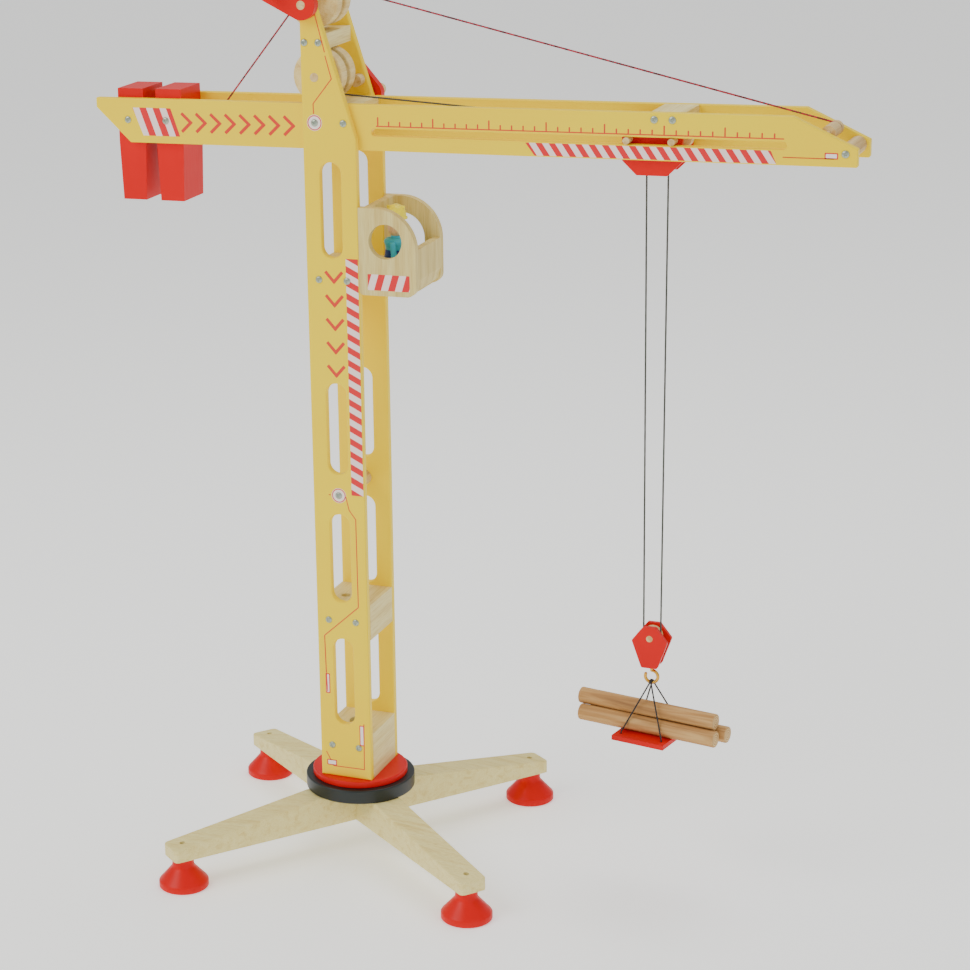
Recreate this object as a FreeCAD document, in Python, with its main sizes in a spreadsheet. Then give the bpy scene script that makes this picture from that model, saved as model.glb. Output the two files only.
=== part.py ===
import FreeCAD, Part
import math
import os
import re
import Sketcher
from FreeCAD import Placement, Rotation, Vector

# Toy tower crane. Millimetres. +X runs along the jib, +Y to the back, +Z up.
# The origin is the centre of the cross foot, on the floor.

SIZES = {
    # cross foot: two half-lapped beams, each on two turned feet
    "leg_circle": 213, "leg_angle": 51.5, "leg_end": 228, "leg_width": 30,
    "leg_under": 33, "leg_top": 67, "leg_tip_top": 46, "leg_flat": 58, "lap_level": 50,
    "foot_rim": 26, "foot_rim_height": 5, "foot_neck": 10.5, "foot_neck_height": 9,
    "foot_hole": 3, "pivot_bore": 4.1, "pivot_bolt": 4,
    # turntable
    "ring_radius": 57.5, "ring_top": 82, "disc_gap": 0.3, "disc_radius": 50,
    # mast: two slotted side panels with blocks between them
    "mast_foot": 89, "mast_half": 28, "board": 8, "mast_out": 38.5, "mast_in": 30.5,
    "taper_start": 764, "mast_top": 908, "mast_top_right": -16.5,
    "slot_width": 22, "slot_length": 95,
    "slot_first": 196.6, "slot_second": 332, "slot_third": 470, "slot_fourth": 693.4,
    "base_block_top": 139, "counterbore": 10.5, "counterbore_floor": 127,
    "mid_block_low": 243.5, "mid_block_top": 281.5,
    "spacer_level": 400, "spacer_radius": 8,
    "cab_block_low": 611, "cab_block_top": 636, "head_block_low": 850, "head_block_top": 865,
    "screw_offset": 15, "base_screw": 124, "mid_screw": 264, "cab_screw": 623.5,
    "head_screw": 857, "head_screw_left": -23.5, "head_screw_right": -9,
    "screw_head": 4, "screw_head_height": 1.6, "screw_shank": 1.75, "screw_length": 22,
    "edge_round": 1.4,
    # jib: two panels inside the mast panels
    "jib_out": 30.5, "jib_in": 22.5, "jib_back": -258.5, "jib_tip": 506.8,
    "jib_top": 797, "jib_under": 752.5, "jib_back_chin": 787, "jib_back_under": -221.7,
    "jib_tip_top": 769, "jib_slope_start": 448.3,
    "track_level": 770.4, "track_start": 41, "track_end": 443.5, "track_height": 7.2,
    "jib_screw": 779.5, "mast_block_low": 773,
    "top_block_left": 316.5, "top_block_right": 349, "top_block_low": 784.5,
    "top_screw_left": 321, "top_screw_right": 338, "top_screw": 790.6,
    "tip_dowel_place": 496, "tip_dowel_level": 764.5, "tip_dowel_radius": 8,
    # counterweights
    "weight_outer": -223.5, "weight_inner": -181, "weight_screw": 775.5, "weight_half": 15,
    "weight_top_half": 14.2, "weight_foot_half": 13, "weight_top": 806, "weight_under": 692.5,
    "weight_belly": 752,
    # winding drums in the mast head
    "drum_flange": 26, "drum_flange_width": 12.5, "drum_groove": 9, "shaft": 4.4, "shaft_bore": 4.5,
    "pull_drum_place": -21.3, "pull_drum_level": 894, "pull_drum_centre": -2, "pull_rope_turn": 16,
    "lift_drum_place": -14.1, "lift_drum_level": 823.5, "lift_drum_centre": -12, "lift_rope_turn": 18.3,
    "crank_half": 14.5, "crank_reach": 36, "crank_thick": 9, "crank_gap": 2.2,
    "pull_crank_angle": 153, "lift_crank_angle": -49.5, "knob": 6, "knob_length": 29,
    "peg": 6, "peg_length": 11, "peg_place": 5, "peg_level": 812,
    # ropes and the rollers that turn them
    "rope": 0.9, "rope_play": 0.3,
    "roller_rope_turn": 5.6, "roller_rim": 6.8, "roller_width": 34, "roller_axle": 2.5,
    "roller_bore": 2.58, "roller_rope_row": 9,
    "tip_roller_place": 477.2, "tip_roller_level": 780.5, "back_roller_place": -135.5,
    # trolley
    "trolley": 316.2, "axle_offset": 21.3, "axle": 3.3, "axle_end": 32.5,
    "plate_out": 20, "plate_thick": 4.5, "plate_top": 782, "plate_half": 28.5,
    "plate_knee": 750, "plate_under": 736.5, "plate_foot_half": 14.6,
    "sheave_rim": 12, "sheave_rope_turn": 10.8, "sheave_width": 10, "sheave_bore": 3.38,
    # hook block
    "hook_axle_level": 273, "hook_rim": 10, "hook_rope_turn": 8.6, "hook_sheave_width": 9,
    "cheek_out": 10, "cheek_thick": 4.5, "cheek_top": 285, "cheek_top_half": 6.3,
    "cheek_wide": 270, "cheek_half": 18, "cheek_under": 242, "cheek_under_half": 8,
    "core_low": 243, "core_top": 252, "core_half": 7.5,
    "hook_wire": 1.6, "hook_turn": 6.4, "hook_eye": 230,
    # load: three logs on a slung pallet, turned a little about the hook
    "load_turn": -10.5, "pallet_half_length": 28, "pallet_half_width": 31, "pallet_top": 172,
    "pallet_thick": 5, "pallet_hole": 22, "pallet_bore": 1.5, "log": 8.3, "log_length": 148,
    "log_row": 8.4, "sling_cord": 0.8, "sling_play": 0.3,
    # driver's cab on the mast's jib side
    "cab_left": 28, "cab_right": 87.7, "cab_low": 610.6, "cab_high": 697.5, "cab_brow": 42,
    "cab_heel": 10, "cab_toe": 5, "porthole": 17.3, "porthole_place": 56, "porthole_level": 664.7,
    "window_left": 37, "window_right": 71, "window_low": 641, "window_top": 681, "window_brow": 25,
    "cab_board_top": 657, "cab_board_knee": 627, "cab_board_low": 613, "cab_floor_end": 79.7,
    "rail_left": 32, "rail_right": 40, "rail_low": 689,
    # driver
    "driver_place": 53, "driver_foot": 636.3, "driver_body": 10, "driver_waist": 8.6,
    "driver_shoulder": 662, "driver_neck": 4.5, "driver_chin": 667, "driver_cheek": 8.4,
    "driver_brow": 681, "helmet_rim": 11.6, "helmet_side": 10.2, "helmet_crown": 690,
    "helmet_top": 695.2, "helmet_top_flat": 5,
    # storage socket in the middle block
    "socket": 5, "socket_place": -8, "socket_row": -8, "socket_depth": 25,
}

doc = FreeCAD.newDocument("tower_crane")
sheet = doc.addObject("Spreadsheet::Sheet", "Sizes")
for row, (alias, number) in enumerate(SIZES.items(), start=1):
    sheet.set(f"A{row}", alias)
    sheet.set(f"B{row}", str(number))
    sheet.setAlias(f"B{row}", alias)
doc.recompute()

SUB_PARTS = []
X_AXIS = Vector(1, 0, 0)
Z_AXIS = Vector(0, 0, 1)
FRONT, BACK = -1, 1


def size(text):
    """Value of a formula over the sheet's aliases."""
    return float(sheet.evalExpression(text))


def bound(text):
    """The same formula as other objects write it."""
    return re.sub(r"[a-z_]+", lambda word: f"Sizes.{word[0]}" if word[0] in SIZES else word[0], text)


def bind(thing, **formulas):
    for name, text in formulas.items():
        thing.setExpression(name, bound(text))
    return thing


def keep(thing, label, at=("0", "0", "0"), turn=None):
    """Names a finished sub-part and puts it in its place."""
    thing.Label = label
    thing.Placement = Placement(Vector(*[size(text) for text in at]), turn or Rotation())
    for axis, text in zip("xyz", at):
        thing.setExpression(f"Placement.Base.{axis}", bound(text))
    SUB_PARTS.append(thing)
    return thing


def box(name, left, right, near, far, low, high):
    """A box between six planes, each a formula."""
    thing = doc.addObject("Part::Box", name)
    bind(thing, Length=f"({right}) - ({left})", Width=f"({far}) - ({near})", Height=f"({high}) - ({low})")
    for axis, text in zip("xyz", (left, near, low)):
        thing.setExpression(f"Placement.Base.{axis}", bound(text))
    return thing


def rod(name, radius, start, length, along="z"):
    """A cylinder from the point start, along Z, or along Y towards the back."""
    thing = doc.addObject("Part::Cylinder", name)
    bind(thing, Radius=radius, Height=length)
    if along == "y":
        thing.Placement = Placement(Vector(), Rotation(X_AXIS, -90))
    for axis, text in zip("xyz", start):
        thing.setExpression(f"Placement.Base.{axis}", bound(text))
    return thing


def cut(name, base, tools):
    group = doc.addObject("Part::MultiFuse", f"{name}_tools") if len(tools) > 1 else None
    if group:
        group.Shapes = tools
    thing = doc.addObject("Part::Cut", name)
    thing.Base = base
    thing.Tool = group or tools[0]
    doc.recompute()
    return thing


def fuse(name, pieces):
    thing = doc.addObject("Part::MultiFuse", name)
    thing.Shapes = pieces
    return thing


def new_sketch(body, name, plane="XZ_Plane"):
    sketch = body.newObject("Sketcher::SketchObject", name)
    sketch.AttachmentSupport = [(next(f for f in body.Origin.OriginFeatures if f.Role == plane), "")]
    sketch.MapMode = "FlatFace"
    return sketch


def pin_point(sketch, geometry, point, across, up):
    """Holds one sketch point at two formulas from the sketch's origin."""
    for kind, text, axis in (("DistanceX", across, -2), ("DistanceY", up, -1)):
        if abs(size(text)) < 1e-9:
            sketch.addConstraint(Sketcher.Constraint("PointOnObject", geometry, point, axis))
        else:
            index = sketch.addConstraint(
                Sketcher.Constraint(kind, -1, 1, geometry, point, size(text))
            )
            sketch.setExpression(f"Constraints[{index}]", bound(text))


def draw_polygon(sketch, corners):
    spots = [Vector(size(across), size(up), 0) for across, up in corners]
    first = sketch.GeometryCount
    for here, there in zip(spots, spots[1:] + spots[:1]):
        sketch.addGeometry(Part.LineSegment(here, there), False)
    for i, (across, up) in enumerate(corners):
        before = first + (i - 1) % len(corners)
        sketch.addConstraint(Sketcher.Constraint("Coincident", before, 2, first + i, 1))
        pin_point(sketch, first + i, 1, across, up)


def draw_circle(sketch, across, up, radius):
    circle = Part.Circle(Vector(size(across), size(up), 0), Z_AXIS, size(radius))
    index = sketch.addGeometry(circle, False)
    pin_point(sketch, index, 3, across, up)
    hold = sketch.addConstraint(Sketcher.Constraint("Radius", index, size(radius)))
    sketch.setExpression(f"Constraints[{hold}]", bound(radius))


def draw_slot(sketch, start, end, radius):
    """A round-ended slot between two centres; each centre is a pair of formulas."""
    one = Vector(size(start[0]), size(start[1]), 0)
    two = Vector(size(end[0]), size(end[1]), 0)
    reach = size(radius)
    heading = math.atan2(two.y - one.y, two.x - one.x)
    side = Vector(-math.sin(heading), math.cos(heading), 0) * reach
    first = sketch.GeometryCount
    for centre, begin in ((one, heading + math.pi / 2), (two, heading - math.pi / 2)):
        ring = Part.Circle(centre, Z_AXIS, reach)
        sketch.addGeometry(Part.ArcOfCircle(ring, begin, begin + math.pi), False)
    sketch.addGeometry(Part.LineSegment(one - side, two - side), False)
    sketch.addGeometry(Part.LineSegment(two + side, one + side), False)
    joins = ((0, 2, 2, 1), (2, 2, 1, 1), (1, 2, 3, 1), (3, 2, 0, 1))
    for a, end_a, b, end_b in joins:
        sketch.addConstraint(Sketcher.Constraint("Tangent", first + a, end_a, first + b, end_b))
    pin_point(sketch, first, 3, *start)
    pin_point(sketch, first + 1, 3, *end)
    hold = sketch.addConstraint(Sketcher.Constraint("Radius", first, reach))
    sketch.setExpression(f"Constraints[{hold}]", bound(radius))


def plate(name, corners, thickness, circles=(), slots=()):
    """A flat piece in the XZ plane, from Y = 0 towards the front, with its holes."""
    body = doc.addObject("PartDesign::Body", name)
    sketch = new_sketch(body, f"{name}_outline")
    draw_polygon(sketch, corners)
    for circle in circles:
        draw_circle(sketch, *circle)
    for slot in slots:
        draw_slot(sketch, *slot)
    pad = body.newObject("PartDesign::Pad", f"{name}_pad")
    pad.Profile = sketch
    bind(pad, Length=thickness)
    doc.recompute()
    return body


def dress(body, name, edges, radius):
    """Rounds the chosen edges of a body's tip."""
    before = body.Tip
    fillet = body.newObject("PartDesign::Fillet", name)
    fillet.Base = (before, edges)
    bind(fillet, Radius=radius)
    doc.recompute()
    return body


def upright_edges(body, corners):
    """Names of the edges along Y that stand at the given corners."""
    spots = [(size(across), size(up)) for across, up in corners]
    names = []
    for number, edge in enumerate(body.Tip.Shape.Edges, start=1):
        span = edge.BoundBox
        if span.YLength > 1 and span.XLength < 1e-6 and span.ZLength < 1e-6:
            if any(abs(span.XMin - x) < 1e-4 and abs(span.ZMin - z) < 1e-4 for x, z in spots):
                names.append(f"Edge{number}")
    return names


def face_edges(body, shortest=14):
    """Names of the long edges round a plate's two broad faces."""
    return [
        f"Edge{number}"
        for number, edge in enumerate(body.Tip.Shape.Edges, start=1)
        if edge.BoundBox.YLength < 1e-6 and edge.Length > shortest
    ]


def turned(name, profile):
    """A body turned about Z; the profile's points are radius and height."""
    body = doc.addObject("PartDesign::Body", name)
    sketch = new_sketch(body, f"{name}_profile")
    draw_polygon(sketch, profile)
    turn = body.newObject("PartDesign::Revolution", f"{name}_turn")
    turn.Profile = sketch
    turn.ReferenceAxis = (sketch, ["V_Axis"])
    turn.Angle = 360
    doc.recompute()
    return body


# ---- cross foot -------------------------------------------------------------------------

def cross_leg(label, heading, lap_low, lap_high):
    corners = [
        ("-leg_end", "leg_under"), ("leg_end", "leg_under"), ("leg_end", "leg_tip_top"),
        ("leg_flat", "leg_top"), ("-leg_flat", "leg_top"), ("-leg_end", "leg_tip_top"),
    ]
    beam = plate(f"{label}_beam", corners, "leg_width")
    ends = [
        f"Edge{number}"
        for number, edge in enumerate(beam.Tip.Shape.Edges, start=1)
        if edge.BoundBox.ZLength > 5 and edge.BoundBox.XLength < 1e-6
    ]
    dress(beam, f"{label}_ends", ends, "leg_width / 6")
    tops = [
        f"Edge{number}"
        for number, edge in enumerate(beam.Tip.Shape.Edges, start=1)
        if edge.BoundBox.YLength < 1e-6 and edge.BoundBox.XLength > 50
        and edge.BoundBox.ZMax > size("leg_tip_top") + 1
    ]
    dress(beam, f"{label}_arris", tops, "edge_round")
    beam.setExpression("Placement.Base.y", bound("leg_width / 2"))
    half = "leg_width / 2"
    lap = box(f"{label}_lap", f"-({half})", half, f"-({half})", half, lap_low, lap_high)
    holes = [rod(f"{label}_pivot", "pivot_bore", ("0", "0", "0"), "ring_top")]
    for end in ("-leg_circle", "leg_circle"):
        holes.append(rod(f"{label}_hole", "foot_hole", (end, "0", "0"), "ring_top"))
    leg = cut(f"{label}_cut", beam, [lap] + holes)
    keep(leg, label, turn=Rotation(Z_AXIS, size(heading)))


def foot(label, heading):
    neck_foot = "leg_under - foot_neck_height"
    body = turned(f"{label}_body", [
        ("0", "0"), ("foot_rim", "0"), ("foot_rim", "foot_rim_height"),
        ("foot_neck", neck_foot), ("foot_neck", "leg_under"), ("0", "leg_under"),
    ])
    hole = rod(f"{label}_hole", "screw_shank", ("0", "0", "leg_under / 2"), "leg_under")
    drilled = cut(f"{label}_drilled", body, [hole])
    keep(drilled, label, at=(f"leg_circle * cos({heading})", f"leg_circle * sin({heading})", "0"))


def foot_screws(headings):
    screws = []
    for heading in headings:
        place = Vector(size(f"leg_circle * cos({heading})"), size(f"leg_circle * sin({heading})"), 0)
        head = Part.makeCylinder(size("foot_hole") - 0.1, 3, place + Z_AXIS * size("leg_under + 3"))
        low = size("leg_under / 2") + 1
        shank = Part.makeCylinder(size("screw_shank"), size("leg_under + 3") - low, place + Z_AXIS * low)
        screws.append(head.fuse(shank).removeSplitter())
    thing = doc.addObject("Part::Feature", "foot_screw_group")
    thing.Shape = Part.makeCompound(screws)
    keep(thing, "foot_screws")


def turntable():
    ring = turned("ring_body", [
        ("pivot_bore", "leg_top"), ("ring_radius", "leg_top"),
        ("ring_radius", "ring_top"), ("pivot_bore", "ring_top"),
    ])
    rims = [
        f"Edge{number}"
        for number, edge in enumerate(ring.Tip.Shape.Edges, start=1)
        if edge.Length > 100 and edge.BoundBox.ZLength < 1e-6
    ]
    dress(ring, "ring_rims", rims, "edge_round")
    keep(ring, "turntable_ring")
    disc = turned("disc_body", [
        ("pivot_bore", "ring_top + disc_gap"), ("disc_radius", "ring_top + disc_gap"),
        ("disc_radius", "mast_foot"), ("pivot_bore", "mast_foot"),
    ])
    rims = [
        f"Edge{number}"
        for number, edge in enumerate(disc.Tip.Shape.Edges, start=1)
        if edge.Length > 100 and edge.BoundBox.ZMin > size("mast_foot") - 0.01
    ]
    dress(disc, "disc_rim", rims, "edge_round")
    keep(disc, "turntable_disc")


def pivot_set():
    """Bolt from below with its washer and nut, sunk in the mast's bottom block."""
    washer_low = size("counterbore_floor") + size("disc_gap")
    hexagon = [Vector(7.5 * math.cos(math.radians(a)), 7.5 * math.sin(math.radians(a)),
            0) for a in range(0, 361, 60)]
    nut = Part.Face(Part.makePolygon(hexagon)).extrude(Z_AXIS * 6.5)
    nut.translate(Z_AXIS * (washer_low + 1.6))
    washer = Part.makeCylinder(9, 1.6, Z_AXIS * washer_low)
    head = Part.makeCylinder(9.5, 5, Z_AXIS * (size("leg_under") - 5))
    shank = Part.makeCylinder(size("pivot_bolt"), washer_low + 10 - size("leg_under"),
            Z_AXIS * size("leg_under"))
    bolt = head.fuse(shank).removeSplitter()
    thing = doc.addObject("Part::Feature", "pivot_group")
    thing.Shape = Part.makeCompound([bolt, washer.cut(shank), nut.cut(shank)])
    keep(thing, "pivot_bolt_set")


# ---- mast -------------------------------------------------------------------------------

SIDE_SCREWS = [
    ("-screw_offset", "base_screw"), ("screw_offset", "base_screw"),
    ("-screw_offset", "mid_screw"), ("screw_offset", "mid_screw"),
    ("-screw_offset", "cab_screw"), ("screw_offset", "cab_screw"),
    ("0", "spacer_level"),
    ("head_screw_left", "head_screw"), ("head_screw_right", "head_screw"),
]
MAST_JIB_SCREWS = [("-screw_offset", "jib_screw"), ("screw_offset", "jib_screw")]
JIB_SCREWS = [
    ("weight_outer", "weight_screw"), ("weight_inner", "weight_screw"),
    ("top_screw_left", "top_screw"), ("top_screw_right", "top_screw"),
    ("tip_dowel_place", "tip_dowel_level"),
]


def mast_panel(label, outer_side):
    corners = [
        ("-mast_half", "mast_foot"), ("mast_half", "mast_foot"), ("mast_half", "taper_start"),
        ("mast_top_right", "mast_top"), ("-mast_half", "mast_top"),
    ]
    bores = [(x, z, "screw_shank") for x, z in SIDE_SCREWS + MAST_JIB_SCREWS]
    bores.append(("pull_drum_place", "pull_drum_level", "shaft_bore"))
    bores.append(("lift_drum_place", "lift_drum_level", "shaft_bore"))
    reach = "(slot_length - slot_width) / 2"
    slots = [
        (("0", f"{middle} - {reach}"), ("0", f"{middle} + {reach}"), "slot_width / 2")
        for middle in ("slot_first", "slot_second", "slot_third", "slot_fourth")
    ]
    body = plate(f"{label}_body", corners, "board", bores, slots)
    dress(body, f"{label}_crown", upright_edges(body, [corners[3], corners[4]]), "mast_half / 6")
    dress(body, f"{label}_arris", face_edges(body, 30), "edge_round")
    keep(body, label, at=("0", "-mast_in" if outer_side == FRONT else "mast_out", "0"))


def screw_bores(name, spots, inner):
    """Bores for the ends of the side screws, running right through a block."""
    return [
        rod(f"{name}_bore", "screw_shank", (x, f"-({inner}) - 1", z), f"2 * ({inner}) + 2", along="y")
        for x, z in spots
    ]


def mast_blocks():
    base = box("base_block", "-mast_half", "mast_half", "-mast_in", "mast_in", "mast_foot",
            "base_block_top")
    tools = screw_bores("base_block", SIDE_SCREWS[0:2], "mast_in")
    tools.append(rod("base_pivot", "pivot_bore", ("0", "0", "mast_foot - 1"), "base_block_top"))
    tools.append(rod("base_counterbore", "counterbore", ("0", "0", "counterbore_floor"),
            "base_block_top"))
    keep(cut("base_block_cut", base, tools), "mast_block_bottom")

    middle = box("mid_block", "-mast_half", "mast_half", "-mast_in", "mast_in", "mid_block_low",
            "mid_block_top")
    tools = screw_bores("mid_block", SIDE_SCREWS[2:4], "mast_in")
    tools.append(rod("socket", "socket", ("socket_place", "socket_row",
            "mid_block_top - socket_depth"), "socket_depth + 1"))
    keep(cut("mid_block_cut", middle, tools), "mast_block_middle")

    floor = box("cab_block", "-mast_half", "cab_floor_end", "-mast_in", "mast_in", "cab_block_low",
            "cab_block_top")
    keep(cut("cab_block_cut", floor, screw_bores("cab_block", SIDE_SCREWS[4:6], "mast_in")),
            "cab_floor_block")

    spacer = rod("spacer", "spacer_radius", ("0", "-mast_in", "spacer_level"), "2 * mast_in", along="y")
    keep(cut("spacer_cut", spacer, screw_bores("spacer", SIDE_SCREWS[6:7], "mast_in")),
            "mast_spacer_dowel")

    head_right = "mast_half - (mast_half - mast_top_right) * (head_block_top - taper_start) / (mast_top - taper_start)"
    head = box("head_block", "-mast_half", head_right, "-mast_in", "mast_in", "head_block_low",
            "head_block_top")
    keep(cut("head_block_cut", head, screw_bores("head_block", SIDE_SCREWS[7:9], "mast_in")),
            "mast_block_head")


def side_screws():
    """Round-headed wood screws on both sides of the mast and the jib."""
    screws = []
    rows = [(SIDE_SCREWS + MAST_JIB_SCREWS, size("mast_out")), (JIB_SCREWS, size("jib_out"))]
    for spots, face in rows:
        for x, z in spots:
            for side in (FRONT, BACK):
                seat = Vector(size(x), side * face, size(z))
                out = Vector(0, side, 0)
                head = Part.makeCylinder(size("screw_head"), size("screw_head_height"), seat, out)
                rim = [edge for edge in head.Edges if abs(edge.BoundBox.YMin - seat.y - side * size("screw_head_height")) < 1e-6]
                head = head.makeFillet(size("screw_head_height") * 0.8, rim)
                shank = Part.makeCylinder(size("screw_shank"), size("screw_length"), seat, out * -1)
                screws.append(head.fuse(shank).removeSplitter())
    thing = doc.addObject("Part::Feature", "screw_group")
    thing.Shape = Part.makeCompound(screws)
    keep(thing, "side_screws")


# ---- jib --------------------------------------------------------------------------------

def jib_panel(label, outer_side):
    corners = [
        ("jib_back", "jib_top"), ("jib_back", "jib_back_chin"), ("jib_back_under", "jib_under"),
        ("jib_tip", "jib_under"), ("jib_tip", "jib_tip_top"), ("jib_slope_start", "jib_top"),
    ]
    bores = [(x, z, "screw_shank") for x, z in MAST_JIB_SCREWS + JIB_SCREWS]
    half = "track_height / 2"
    track = ((f"track_start + {half}", "track_level"), (f"track_end - {half}", "track_level"), half)
    body = plate(f"{label}_body", corners, "board", bores, [track])
    dress(body, f"{label}_nose", upright_edges(body, corners[3:5]), "edge_round")
    dress(body, f"{label}_arris", face_edges(body, 12), "edge_round * 0.7")
    keep(body, label, at=("0", "-jib_in" if outer_side == FRONT else "jib_out", "0"))


def jib_blocks():
    block = box("jib_block", "-mast_half", "mast_half", "-jib_in", "jib_in", "mast_block_low", "jib_top")
    keep(cut("jib_block_cut", block, screw_bores("jib_block", MAST_JIB_SCREWS, "jib_in")),
            "jib_block_mast")
    block = box("top_block", "top_block_left", "top_block_right", "-jib_in", "jib_in",
            "top_block_low", "jib_top")
    keep(cut("top_block_cut", block, screw_bores("top_block", JIB_SCREWS[2:4], "jib_in")),
            "jib_block_top")
    dowel = rod("tip_dowel", "tip_dowel_radius", ("tip_dowel_place", "-jib_in", "tip_dowel_level"),
            "2 * jib_in", along="y")
    keep(cut("tip_dowel_cut", dowel, screw_bores("tip_dowel", JIB_SCREWS[4:5], "jib_in")),
            "jib_tip_dowel")


def counterweight(label, place, screw):
    corners = [
        (f"{place} - weight_foot_half", "weight_under"), (f"{place} + weight_foot_half", "weight_under"),
        (f"{place} + weight_half", "weight_belly"), (f"{place} + weight_top_half", "weight_top"),
        (f"{place} - weight_top_half", "weight_top"), (f"{place} - weight_half", "weight_belly"),
    ]
    body = plate(f"{label}_body", corners, "2 * jib_in")
    body.setExpression("Placement.Base.y", bound("jib_in"))
    keep(cut(f"{label}_cut", body, screw_bores(label, [screw], "jib_in")), label)


# ---- drums, cranks and rollers ------------------------------------------------------------

LYING = Rotation(X_AXIS, 90)


def drum(label, place, level, centre, rope_turn):
    """A flanged drum on a Y shaft; its profile is drawn about its own middle."""
    core = f"{rope_turn} - rope - rope_play"
    body = turned(f"{label}_body", [
        ("shaft", "-drum_groove / 2 - drum_flange_width"), ("drum_flange",
                "-drum_groove / 2 - drum_flange_width"),
        ("drum_flange", "-drum_groove / 2"), (core, "-drum_groove / 2"),
        (core, "drum_groove / 2"), ("drum_flange", "drum_groove / 2"),
        ("drum_flange", "drum_groove / 2 + drum_flange_width"), ("shaft",
                "drum_groove / 2 + drum_flange_width"),
    ])
    rims = [
        f"Edge{number}"
        for number, edge in enumerate(body.Tip.Shape.Edges, start=1)
        if abs(edge.BoundBox.XMax - size("drum_flange")) < 1e-3 and edge.BoundBox.ZLength < 1e-6
    ]
    dress(body, f"{label}_rims", rims, "edge_round")
    keep(body, label, at=(place, centre, level), turn=LYING)


def crank_set(name, place, level, angle, side):
    """Shaft, flat crank and wooden knob; side says where the crank sits."""
    far = "mast_out + crank_gap + crank_thick"
    shaft_start = f"-({far})" if side == FRONT else "-mast_out"
    shaft = rod(f"{name}_shaft_rod", "shaft", (place, shaft_start, level), f"mast_out + {far}", along="y")
    keep(shaft, f"{name}_shaft", at=(place, shaft_start, level), turn=Rotation(X_AXIS, -90))

    near = f"-({far})" if side == FRONT else "mast_out + crank_gap"
    bar = box(f"{name}_bar", "0", "crank_reach", "0", "crank_thick", "-crank_half", "crank_half")
    hub = rod(f"{name}_hub", "crank_half", ("0", "0", "0"), "crank_thick", along="y")
    end = rod(f"{name}_end", "crank_half", ("crank_reach", "0", "0"), "crank_thick", along="y")
    arm = fuse(f"{name}_arm", [bar, hub, end])
    eye = rod(f"{name}_eye", "shaft", ("0", "-1", "0"), "crank_thick + 2", along="y")
    crank = cut(f"{name}_crank_cut", arm, [eye])
    keep(crank, f"{name}_crank", at=(place, near, level), turn=Rotation(Vector(0, -1, 0), size(angle)))

    body = doc.addObject("Part::Cylinder", f"{name}_knob_rod")
    bind(body, Radius="knob", Height="knob_length")
    knob = doc.addObject("Part::Fillet", f"{name}_knob_dome")
    doc.recompute()
    knob.Base = body
    knob.Edges = [
        (number, size("knob") * 0.7, size("knob") * 0.7)
        for number, edge in enumerate(body.Shape.Edges, start=1)
        if edge.BoundBox.ZLength < 1e-6 and edge.BoundBox.ZMin > 1
    ]
    knob_at = (
        f"{place} + crank_reach * cos({angle})",
        f"-({far})" if side == FRONT else far,
        f"{level} + crank_reach * sin({angle})",
    )
    keep(knob, f"{name}_knob", at=knob_at, turn=Rotation(X_AXIS, 90 if side == FRONT else -90))


def roller(label, place, level):
    core = "roller_rope_turn - rope - rope_play"
    groove = "roller_rope_row - 2 * rope"
    body = turned(f"{label}_body", [
        ("roller_bore", "-roller_width / 2"), ("roller_rim", "-roller_width / 2"),
        ("roller_rim", groove), (core, "roller_rope_row - rope"), (core, "roller_rope_row + rope"),
        ("roller_rim", "roller_rope_row + 2 * rope"), ("roller_rim", "roller_width / 2"),
        ("roller_bore", "roller_width / 2"),
    ])
    keep(body, label, at=(place, "0", level), turn=Rotation(X_AXIS, -90))


def roller_axles():
    level = "track_level + roller_rope_turn"
    back = rod("back_axle", "roller_axle", ("back_roller_place", "-jib_in", level), "2 * jib_in",
            along="y")
    tip = rod("tip_axle", "roller_axle", ("tip_roller_place", "-jib_in", "tip_roller_level"),
            "2 * jib_in", along="y")
    pair = doc.addObject("Part::Compound", "roller_axle_pair")
    pair.Links = [back, tip]
    doc.recompute()
    keep(pair, "roller_axles")


def guide_peg():
    peg = rod("guide_peg_rod", "peg", ("0", "0", "0"), "peg_length")
    keep(peg, "rope_guide_peg", at=("peg_place", "mast_in", "peg_level"), turn=LYING)


# ---- trolley ------------------------------------------------------------------------------

def trolley():
    corners = [
        ("-plate_half", "plate_top"), ("-plate_half", "plate_knee"), ("-plate_foot_half", "plate_under"),
        ("plate_foot_half", "plate_under"), ("plate_half", "plate_knee"), ("plate_half", "plate_top"),
    ]
    bores = [("-axle_offset", "track_level", "axle"), ("axle_offset", "track_level", "axle")]
    for label, row in (("trolley_plate_front", "plate_thick - plate_out"),
            ("trolley_plate_rear", "plate_out")):
        body = plate(f"{label}_body", corners, "plate_thick", bores)
        dress(body, f"{label}_knees", upright_edges(body, corners), "plate_thick / 2")
        keep(body, label, at=("trolley", row, "0"))
    pegs = [
        rod(f"axle_{end}", "axle", (f"trolley {end} axle_offset", "-axle_end", "track_level"),
                "2 * axle_end", along="y")
        for end in "-+"
    ]
    pair = doc.addObject("Part::Compound", "trolley_axle_pair")
    pair.Links = pegs
    doc.recompute()
    keep(pair, "trolley_axles")
    for label, end in (("trolley_sheave_mast", "-"), ("trolley_sheave_tip", "+")):
        sheave(label, "sheave_rim", "sheave_rope_turn", "sheave_width",
                (f"trolley {end} axle_offset", "0", "track_level"))


def sheave(label, rim, rope_turn, width, at):
    core = f"{rope_turn} - rope - rope_play"
    body = turned(f"{label}_body", [
        ("sheave_bore", f"-{width} / 2"), (rim, f"-{width} / 2"), (rim, f"-{width} / 3"),
        (core, "-rope"), (core, "rope"), (rim, f"{width} / 3"), (rim, f"{width} / 2"),
        ("sheave_bore", f"{width} / 2"),
    ])
    keep(body, label, at=at, turn=LYING)


# ---- hook block and load --------------------------------------------------------------------

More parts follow.
